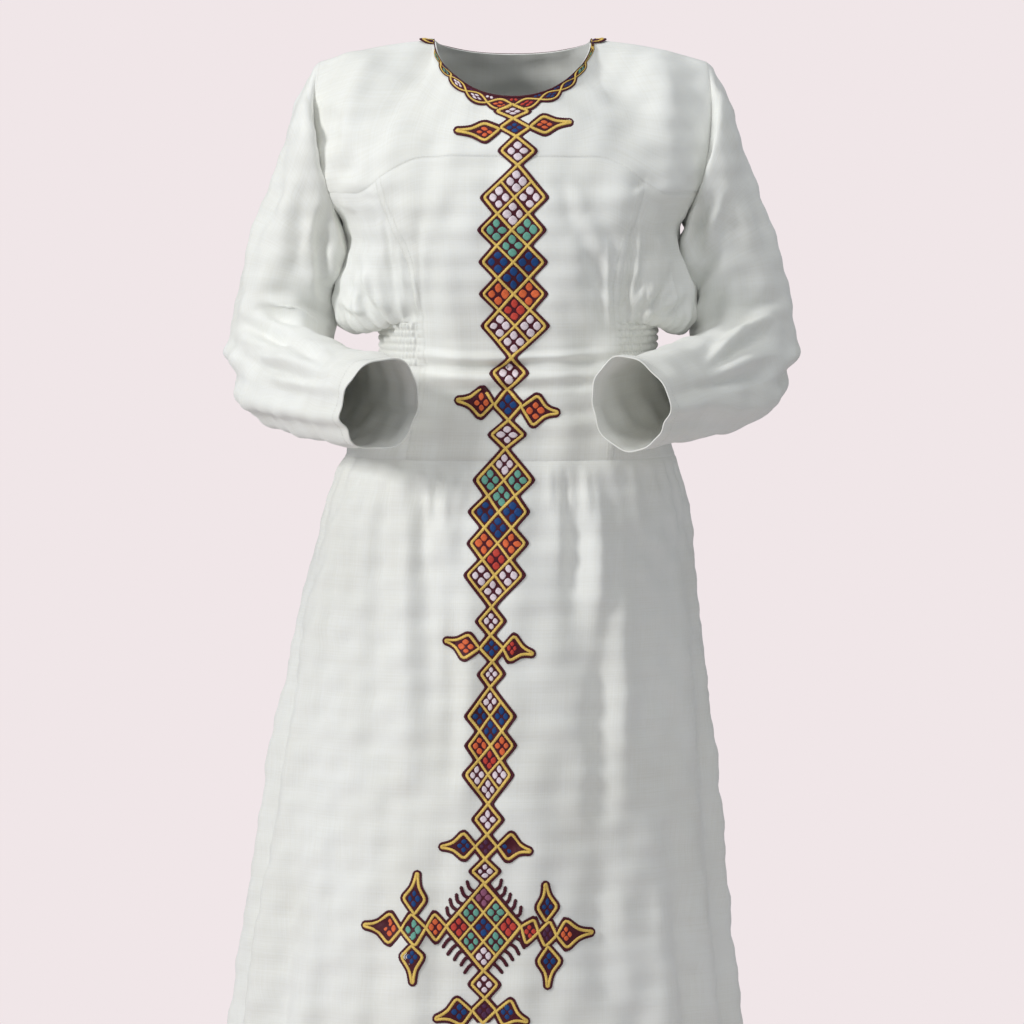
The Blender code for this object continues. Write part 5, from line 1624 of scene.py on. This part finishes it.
class Threads:
    """One gathering of needlework for each thread, and the hand that makes no two alike."""

    def __init__(self):
        self.work = {name: Needlework() for name in THREADS}
        self.hand = np.random.default_rng(HAND_SEED)

    def lozenge(self, x, z, half_x, half_z, thread, place, edge=GOLD_HALF):
        """The filling of one lozenge: a dark inner line and four cushions in its quarters.

        half_x and half_z reach to the middle of the gold line round it, edge is half its width.
        """
        square = half_x * half_z / math.hypot(half_x, half_z)
        inner = max(0.25, (square - edge - INNER_HALF * 0.8) / square)
        corner_x = x + half_x * inner * np.array([0, -1, 0, 1.0])
        corner_z = z + half_z * inner * np.array([1, 0, -1, 0.0])
        line = rounded(corner_x, corner_z, 0.0016, CORD_STEP, closed=True)
        cord(self.work["maroon"], *line, INNER_HALF, INNER_RISE, GROUND_LIFT, place, closed=True)
        fill = max(0.2, (square - edge - INNER_HALF * 1.5) / square)
        quarter_x, quarter_z = half_x * fill / 2, half_z * fill / 2
        wobble = self.hand.normal(size=(5, 4))
        at_x = x + quarter_x * np.array([0, -1, 0, 1.0]) * 1.04 + 0.00022 * wobble[0]
        at_z = z + quarter_z * np.array([1, 0, -1, 0.0]) * 1.04 + 0.00022 * wobble[1]
        grow = PETAL_SHARE + 0.06 * wobble[2]
        cushions(
            self.work[thread],
            at_x,
            at_z,
            quarter_x * grow,
            quarter_z * (PETAL_SHARE + 0.06 * wobble[3]),
            0.14 * wobble[4],
            PETAL_RISE,
            GROUND_LIFT + GROUND_RISE * 0.6,
            place,
        )


def chain_gold(motif):
    """Half the width of a motif's gold outline, to the middle of the line."""
    return motif["half_width"] - RIM


def zigzag(half_x, half_z, bottom, start, way):
    """A gold line that runs slantwise through a column of lozenges and turns back at its sides.

    Places are counted in half lozenges: across from -2 to 2, down from 0 to bottom.
    """
    across, down_to = [start[0]], [start[1]]
    while True:
        x, v = across[-1], down_to[-1]
        to_side = 2 - x if way > 0 else x + 2
        to_bottom = (bottom - v - way * x) / 2
        run = min(to_side, to_bottom)
        across.append(x + way * run)
        down_to.append(v + run)
        if to_bottom <= to_side + 1e-9:
            break
        way = -way
    if abs(across[-1]) > 1.9:
        across.append(0.0)
        down_to.append(float(bottom))
    return np.array(across) * half_x, -np.array(down_to) * half_z


def sway(z):
    """The middle line of the embroidery at a height."""
    return down(z, SWAY_COLUMNS, SWAY_ROWS, "x")


def chain_outline():
    """Heights down the chain, and half the width of its gold outline at each, corner by corner."""
    z, half = [], []
    for row in CHAIN_ROWS:
        motif = dict(zip(CHAIN_COLUMNS, row))
        pairs = len(motif["pairs"]) or 1
        step = (motif["top"] - motif["bottom"]) / (pairs + 1)
        z.append(motif["top"])
        half.append(0.0)
        for number in range(pairs):
            widest = motif["top"] - (number + 1) * step
            if number:
                z.append(widest + step / 2)
                half.append(chain_gold(motif) / 2)
            z.append(widest)
            half.append(chain_gold(motif))
    z.append(CHAIN_ROWS[-1][1])
    half.append(0.0)
    return np.array(z), np.array(half)


def centre_chain(threads, place):
    """The chain down the front: its ground, its maroon outline, its gold lines and its filled lozenges."""
    ground = Needlework()
    corner_z, corner_half = chain_outline()
    z = np.arange(corner_z[0] + 0.001, corner_z[-1] - 0.001, -CHAIN_STEP)
    wide = np.interp(-z, -corner_z, corner_half) + GROUND_OFF * LEVEL_SHARE
    kernel = np.hanning(5)[1:-1]
    wide = np.convolve(np.pad(wide, 1, mode="edge"), kernel / kernel.sum(), mode="valid")
    x = sway(z)[:, None] + wide[:, None] * np.linspace(-1, 1, 11)
    slab(ground, x, z[:, None] + 0 * x, GROUND_RISE, place)
    for side in (-1, 1):
        line_x = sway(z) + side * (wide - (GROUND_OFF - OUTLINE_OFF) * LEVEL_SHARE)
        cord(threads.work["maroon"], line_x, z, OUTLINE_HALF, OUTLINE_RISE, GROUND_LIFT * 0.6, place)
    for row in CHAIN_ROWS:
        motif = dict(zip(CHAIN_COLUMNS, row))
        if motif["pairs"]:
            cluster(threads, motif, place)
        elif motif["middle"]:
            single(threads, motif, place)
        else:
            medallion(threads, motif, place)
    return ground


def single(threads, motif, place):
    """One small lozenge of the chain, whose gold lines cross its neighbours' at its tips."""
    gold = chain_gold(motif)
    middle = (motif["top"] + motif["bottom"]) / 2
    half_z = (motif["top"] - motif["bottom"]) / 2
    x = sway(middle)
    over = 1.06
    for side in (-1, 1):
        line_x = np.array([sway(motif["top"]) - side * gold * (over - 1), x + side * gold, sway(motif["bottom"]) - side * gold * (over - 1)])
        line_z = middle + half_z * np.array([over, 0, -over])
        line = rounded(line_x, line_z, 0.0026, CORD_STEP)
        cord(threads.work["gold"], *line, GOLD_HALF, GOLD_RISE, GROUND_LIFT, place)
    threads.lozenge(x, middle, gold, half_z, motif["middle"][0], place)


def cluster(threads, motif, place):
    """A column of crossed gold lines with lozenges down its middle and pairs beside them."""
    pairs = len(motif["pairs"])
    half_x = chain_gold(motif) / 2
    half_z = (motif["top"] - motif["bottom"]) / (2 * pairs + 2)
    bottom = 2 * pairs + 2
    for start, way in (((0, 0), 1), ((0, 0), -1), ((-1, 1), 1), ((1, 1), -1)):
        line_x, line_z = zigzag(half_x, half_z, bottom, start, way)
        line_x, line_z = rounded(line_x, line_z, 0.0034, CORD_STEP)
        line_z = line_z + motif["top"]
        outer = start == (0, 0)
        cord(
            threads.work["gold"],
            line_x + sway(line_z),
            line_z,
            GOLD_HALF if outer else LATTICE_HALF * 1.15,
            GOLD_RISE * (1.0 if outer else 0.92),
            GROUND_LIFT,
            place,
        )
    for number, thread in enumerate(motif["middle"]):
        z = motif["top"] - (2 * number + 1) * half_z
        threads.lozenge(sway(z), z, half_x, half_z, thread, place, LATTICE_HALF)
    for number, thread in enumerate(motif["pairs"]):
        z = motif["top"] - (2 * number + 2) * half_z
        for side in (-1, 1):
            threads.lozenge(sway(z) + side * half_x, z, half_x, half_z, thread, place, LATTICE_HALF)


def medallion(threads, motif, place):
    """A lozenge of three by three lozenges, with short bent hooks along each of its sides."""
    gold = chain_gold(motif)
    middle = (motif["top"] + motif["bottom"]) / 2
    high = (motif["top"] - motif["bottom"]) / 2
    x = sway(middle)
    closed_x = x + gold * np.array([0, -1, 0, 1.0])
    closed_z = middle + high * np.array([1, 0, -1, 0.0])
    line = rounded(closed_x, closed_z, 0.002, CORD_STEP, closed=True)
    cord(threads.work["gold"], *line, GOLD_HALF * 1.1, GOLD_RISE, GROUND_LIFT, place, closed=True)
    for slant in (-1, 1):
        for shift in (-1 / 3, 1 / 3):
            start = np.array([shift / 2 - 0.5, slant * (shift / 2 + 0.5)])
            finish = np.array([shift / 2 + 0.5, slant * (shift / 2 - 0.5)])
            line_x = x + gold * np.array([start[0], finish[0]])
            line_z = middle + high * np.array([start[1], finish[1]])
            cord(threads.work["gold"], line_x, line_z, LATTICE_HALF * 1.1, GOLD_RISE * 0.9, GROUND_LIFT, place)
    places = [(0, 2), (-1, 1), (1, 1), (-2, 0), (0, 0), (2, 0), (-1, -1), (1, -1), (0, -2)]
    for (across, up), thread in zip(places, MEDALLION_THREADS):
        threads.lozenge(
            x + across * gold / 3,
            middle + up * high / 3,
            gold / 3,
            high / 3,
            thread,
            place,
            LATTICE_HALF,
        )
    hand = np.random.default_rng(HAND_SEED + 1)
    for side_x, side_z in ((-1, 1), (1, 1), (-1, -1), (1, -1)):
        out = np.array([side_x * high, side_z * gold]) / math.hypot(gold, high)
        for number in range(HOOKS_ON_A_SIDE):
            share = 0.14 + 0.72 * (number + 0.5) / HOOKS_ON_A_SIDE
            foot = np.array([x + side_x * gold * share, middle + side_z * high * (1 - share)])
            foot = foot + out * OUTLINE_OFF
            reach = HOOK_LENGTH * (1 + 0.10 * hand.normal())
            bend = np.array([-side_x * 0.0012, 0.0040]) if side_z > 0 else np.array([side_x * 0.0010, -0.0032])
            tip = foot + out * reach * 0.86 + bend
            knee = foot + out * reach * 0.5 - bend * 0.45 + 0.0006 * hand.normal(size=2)
            line_x = np.array([foot[0] - out[0] * 0.002, knee[0], tip[0]])
            line_z = np.array([foot[1] - out[1] * 0.002, knee[1], tip[1]])
            line = rounded(line_x, line_z, 0.003, CORD_STEP)
            cord(threads.work["maroon"], *line, HOOK_HALF, OUTLINE_RISE * 1.2, GROUND_LIFT * 0.4, place)


def leaf_line(leaf, grow):
    """A leaf's closed line, grow outside its gold one: half widths set off from its bent middle."""
    inner, wide, tip = (np.array(leaf[name]) for name in ("inner", "wide", "tip"))
    at, share = np.array(TAILED_SHAPE if leaf["tailed"] else PLAIN_SHAPE).T
    fine = np.linspace(0, 2, 61)
    half = (leaf["half"] - GROUND_OFF * 1.2) * np.interp(fine, at, share)
    axis = (tip - inner) / np.linalg.norm(tip - inner)
    if leaf["tailed"]:
        tip = tip - axis * (GROUND_OFF - 0.0004)
    aside = np.array([-axis[1], axis[0]])
    past = fine[:, None] - 1
    middle = wide + np.where(past < 0, (wide - inner) * past, (tip - wide) * past)
    far = np.concatenate([[0], np.cumsum(np.linalg.norm(np.diff(middle, axis=0), axis=-1))])
    half = half + grow * np.sqrt(1 + np.gradient(half, far) ** 2)
    half = np.maximum(half, 0.0002)
    line = np.concatenate([middle + aside * half[:, None], (middle - aside * half[:, None])[::-1]])
    if grow > 0:
        ends = np.stack([middle[-1] + axis * grow * 0.9, middle[0] - axis * 0.0002])
        line = np.concatenate([line[:61], ends[:1], line[61:], ends[1:]])
    before, after = line, np.roll(line, -1, axis=0)
    turns = np.sum(before[:, 0] * after[:, 1] - before[:, 1] * after[:, 0])
    return line if turns > 0 else line[::-1]


def leaves(threads, place):
    """The arms of the crosses and the crosses beside the medallion, ground by ground."""
    grounds = {}
    for row in LEAF_ROWS:
        leaf = dict(zip(LEAF_COLUMNS, row))
        ground = grounds.setdefault(leaf["node"], Needlework())
        outer = rounded(*leaf_line(leaf, GROUND_OFF).T, 0.0015, 0.0012, closed=True)
        leaf_patch(ground, leaf["wide"], *outer, GROUND_RISE, place)
        rim = rounded(*leaf_line(leaf, OUTLINE_OFF).T, 0.0015, CORD_STEP, closed=True)
        cord(threads.work["maroon"], *rim, OUTLINE_HALF, OUTLINE_RISE, GROUND_LIFT * 0.6, place, closed=True)
        gold = rounded(*leaf_line(leaf, 0.0).T, 0.0010, CORD_STEP, closed=True)
        cord(threads.work["gold"], *gold, GOLD_HALF, GOLD_RISE, GROUND_LIFT, place, closed=True)
        inner, wide, tip = (np.array(leaf[name]) for name in ("inner", "wide", "tip"))
        length = np.linalg.norm(wide - inner)
        level = abs(tip[0] - inner[0]) > abs(tip[1] - inner[1])
        across = leaf["half"] - GROUND_OFF * 1.2
        half_x, half_z = (length, across) if level else (across, length)
        threads.lozenge(*wide, half_x, half_z, leaf["thread"], place)
    return grounds


def neck_border(threads, place):
    """The border round the neck: two gold lines that weave about each other, with filled cells."""
    ground = Needlework()
    total = place.far[-1]
    along = np.linspace(0, total, 421)
    phase = np.pi * place.cell(along)
    swing = BORDER_SWING * np.sqrt(np.sin(phase) ** 2 + 0.006)
    edge = BORDER_MIDDLE + swing + LATTICE_HALF + 2 * OUTLINE_HALF
    share = np.linspace(0, 1, 13)[::-1][:, None]
    up = -(0.0006 + (edge - 0.0006) * (1 - share))
    slab_round(ground, along, up, place)
    outer = edge - OUTLINE_HALF
    cord(threads.work["maroon"], along[:-1], -outer[:-1], OUTLINE_HALF, OUTLINE_RISE, GROUND_LIFT * 0.8, place, closed=False)
    cord(threads.work["maroon"], along, 0 * along - 0.0014, OUTLINE_HALF * 1.25, OUTLINE_RISE * 1.1, GROUND_LIFT * 0.8, place)
    for side in (-1, 1):
        wave = BORDER_MIDDLE + side * BORDER_SWING * np.sin(phase)
        rise = GOLD_RISE * 0.9
        cord(threads.work["gold"], along, -wave, LATTICE_HALF * 1.05, rise, GROUND_LIFT, place)
    for number, thread in enumerate(CELL_THREADS):
        middle = place.along(number + 0.5)
        half = (place.along(number + 1) - place.along(number)) / 2
        threads.lozenge(middle, -BORDER_MIDDLE, half * 0.98, BORDER_SWING * 1.1, thread, place, LATTICE_HALF)
    for number, thread in enumerate(NOTCH_THREADS):
        middle = place.along(float(number))
        cushions(
            threads.work[thread],
            np.array([middle - 0.0024, middle + 0.0024]),
            np.array([-0.0046, -0.0046]),
            0.0021,
            0.0015,
            np.array([0.3, -0.3]),
            PETAL_RISE * 0.8,
            GROUND_LIFT + GROUND_RISE * 0.5,
            place,
        )
    return ground


def slab_round(work, along, up, place):
    """The ground of the neck border, a closed ring: rows outwards from the neck, columns along it."""
    x = along[None, :-1] + 0 * up[:, :-1]
    up = up[:, :-1]
    rows, columns = up.shape
    share = np.linspace(-1, 1, rows)[:, None]
    lift = GROUND_LIFT + GROUND_RISE * (1 - share**6) + 0 * up
    top, bottom = place(x, up, lift), place(x, up, 0 * lift + 0.0001)
    count = rows * columns
    quads = grid_quads(rows, columns, wrap=True)
    faces = quads.tolist() + (quads[:, ::-1] + count).tolist()
    first = np.arange(columns)
    after = np.roll(first, -1)
    last = first + (rows - 1) * columns
    last_after = after + (rows - 1) * columns
    faces += np.stack([first, after, after + count, first + count], axis=-1).tolist()
    faces += np.stack([last, last + count, last_after + count, last_after], axis=-1).tolist()
    lengths = np.stack([x, up], axis=-1)
    work.add(np.concatenate([top, bottom]), faces, np.concatenate([lengths, lengths]))


def stitch_row(work, line, out, closed=False):
    """Running stitches along a line on the cloth: small grains of thread, pointed at both ends."""
    step = np.linalg.norm(np.diff(line, axis=0), axis=-1)
    far = np.concatenate([[0], np.cumsum(step)])
    count = int(far[-1] / (STITCH + STITCH_SPACE))
    start = (np.arange(count) + 0.2) * (far[-1] / count)

    def at(distance, rows):
        return np.stack([np.interp(distance, far, rows[:, axis]) for axis in range(3)], axis=-1)

    a, b = at(start, line), at(start + STITCH, line)
    up = at(start + STITCH / 2, out)
    up /= np.linalg.norm(up, axis=-1, keepdims=True)
    middle = (a + b) / 2
    aside = np.cross(b - a, up)
    aside /= np.linalg.norm(aside, axis=-1, keepdims=True)
    half = STITCH_HALF
    corners = [a, middle + up * half * 1.4, middle + aside * half, middle - up * half, middle - aside * half, b]
    points = np.stack(corners, axis=1)
    grain = [(0, 1, 2), (0, 2, 3), (0, 3, 4), (0, 4, 1), (5, 2, 1), (5, 3, 2), (5, 4, 3), (5, 1, 4)]
    faces = [[number * 6 + corner for corner in face] for number in range(count) for face in grain]
    lengths = np.stack([np.tile([0, 0.5, 0.5, 0.5, 0.5, 1.0], (count, 1)) * STITCH, 0 * points[..., 0]], axis=-1)
    work.add(points, faces, lengths)


def beside_edge(grid, side, distance, wrap=False):
    """A line on the cloth at a distance from one of its edges, with the normals along it."""
    away = edges_away(grid)[side]
    out = outwards(grid, wrap)
    painted_strand_shade_and_patches = np.concatenate([grid, out], axis=-1)
    if side in ("left", "right"):
        columns = away if side == "left" else away[:, ::-1]
        rows = painted_strand_shade_and_patches if side == "left" else painted_strand_shade_and_patches[:, ::-1]
        index = np.argmax(columns > distance, axis=1)
        pick = np.arange(len(rows))
        before, after = columns[pick, index - 1], columns[pick, index]
        part = ((distance - before) / (after - before))[:, None]
        line = rows[pick, index - 1] * (1 - part) + rows[pick, index] * part
    else:
        return beside_edge_down(painted_strand_shade_and_patches, away if side == "top" else away, side, distance, wrap)
    return line[:, :3] + line[:, 3:] * STITCH_HALF * 0.6, line[:, 3:]


def beside_edge_down(painted_strand_shade_and_patches, away, side, distance, wrap):
    """The same for an edge that runs along the top or the bottom of the grid."""
    rows = painted_strand_shade_and_patches if side == "top" else painted_strand_shade_and_patches[::-1]
    columns = away if side == "top" else away[::-1]
    index = np.argmax(columns > distance, axis=0)
    pick = np.arange(rows.shape[1])
    before, after = columns[index - 1, pick], columns[index, pick]
    part = ((distance - before) / (after - before))[:, None]
    line = rows[index - 1, pick] * (1 - part) + rows[index, pick] * part
    if wrap:
        line = np.concatenate([line, line[:1]])
    return line[:, :3] + line[:, 3:] * STITCH_HALF * 0.6, line[:, 3:]


def sewing(cloth, material):
    """Rows of sewing thread: beside the long seams of the bodice, at the armholes, hems and shirring."""
    plans = {
        "bodice_topstitching": [
            ("centre_front", "left", 0.0016),
            ("centre_front", "right", 0.0016),
            ("centre_front", "left", 0.0076),
            ("centre_front", "right", 0.0076),
            ("centre_back", "left", 0.0016),
            ("centre_back", "right", 0.0016),
            ("front_yoke", "bottom", 0.0016),
            ("back_yoke", "bottom", 0.0016),
        ],
        "armhole_topstitching": [
            ("front_yoke", "left", 0.0020),
            ("front_yoke", "right", 0.0020),
            ("back_yoke", "left", 0.0020),
            ("back_yoke", "right", 0.0020),
        ],
        "cuff_stitching": [
            ("sleeve_right", "bottom", CUFF_HEM - 0.002),
            ("sleeve_left", "bottom", CUFF_HEM - 0.002),
        ],
        "hem_stitching": [
            ("skirt_front", "bottom", SKIRT_HEM - 0.002),
            ("skirt_back", "bottom", SKIRT_HEM - 0.002),
        ],
    }
    for name, rows in plans.items():
        work = Needlework()
        for node, side, distance in rows:
            line, out = beside_edge(cloth[node], side, distance, wrap=node.startswith("sleeve"))
            stitch_row(work, line, out)
        work.made(name, material, "white_cotton")
    work = Needlework()
    for hand in ("right", "left"):
        grid = cloth[f"shirred_waist_{hand}"]
        out = outwards(grid)
        for row in range(SHIRRING_ROWS + 1):
            index = min(max(row * ROWS_PER_GATHER, 1), len(grid) - 2)
            stitch_row(work, grid[index] + out[index] * STITCH_HALF * 0.5, out[index])
    work.made("shirring_stitches", material, "white_cotton")


def studio():
    """A plain pale floor, soft light from above and both sides of the camera, and the camera."""
    x, y = FLOOR_CENTRE
    ring = np.linspace(0, 1, 9)[1:, None]
    turn = np.arange(96) * (2 * np.pi / 96)
    points = np.stack(np.broadcast_arrays(
        x + FLOOR_RADIUS * ring * np.sin(turn), y - FLOOR_RADIUS * ring * np.cos(turn), FLOOR_Z + 0 * ring * turn
    ), axis=-1)
    faces = grid_quads(len(ring), 96, wrap=True).tolist()
    faces.append(list(range(96)))
    floor = make_mesh("studio_floor", points, faces, points[..., :2], plain_material("pale studio floor", FLOOR, 0.8))
    for name, place, size, power in LIGHTS:
        lamp = bpy.data.lights.new(name, "AREA")
        lamp.shape = "RECTANGLE"
        lamp.size, lamp.size_y = size
        lamp.energy = power
        holder = bpy.data.objects.new(name, lamp)
        bpy.context.scene.collection.objects.link(holder)
        aim(holder, place, LIGHT_TARGET)
    world = bpy.data.worlds.new("pale studio")
    world.use_nodes = True
    tree = world.node_tree
    seen = tree.nodes["Background"]
    seen.inputs["Color"].default_value = linear(BACKGROUND)
    seen.inputs["Strength"].default_value = 1.0
    round_about = add_node(tree, "ShaderNodeBackground", Color=linear(SURROUND), Strength=SURROUND_STRENGTH)
    mixed = add_node(tree, "ShaderNodeMixShader")
    tree.links.new(add_node(tree, "ShaderNodeLightPath").outputs["Is Camera Ray"], mixed.inputs[0])
    tree.links.new(round_about.outputs[0], mixed.inputs[1])
    tree.links.new(seen.outputs[0], mixed.inputs[2])
    tree.links.new(mixed.outputs[0], tree.nodes["World Output"].inputs["Surface"])
    bpy.context.scene.world = world
    lens = bpy.data.cameras.new("camera")
    lens.sensor_width = 36
    lens.lens = LENS
    camera = bpy.data.objects.new("camera", lens)
    bpy.context.scene.collection.objects.link(camera)
    aim(camera, CAMERA_PLACE, CAMERA_TARGET)
    bpy.context.scene.camera = camera
    bpy.context.scene.view_settings.view_transform = "Standard"


def aim(holder, place, target):
    """Puts a lamp or the camera at a place and turns it to a target."""
    from mathutils import Vector

    holder.location = place
    way = Vector(target) - Vector(place)
    holder.rotation_euler = way.to_track_quat("-Z", "Y").to_euler()


def main():
    cloth = sewn_together({**bodice(), **sleeves(), **skirts()})
    cotton = cotton_material("white cotton", WEAVE, 0.30)
    pieces = {name: panel(name, grid, cotton) for name, grid in cloth.items()}
    sewing(cloth, thread_material("white sewing thread", SEWING_THREAD))
    threads = Threads()
    front, neck = FrontCloth(), NeckCloth()
    maroon = thread_material("maroon embroidery thread", THREADS["maroon"])
    chain = centre_chain(threads, front).made("centre_chain_ground", maroon)
    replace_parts(chain, "centre_chain")
    border = neck_border(threads, neck).made("neck_border_ground", maroon)
    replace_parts(border, "neck_border")
    for node, ground in leaves(threads, front).items():
        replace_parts(ground.made(f"{node}_ground", maroon), node)
    for name, work in threads.work.items():
        finish = maroon if name == "maroon" else thread_material(f"{name} embroidery thread", THREADS[name])
        work.made(f"{name}_embroidery", finish)
    studio()


main()
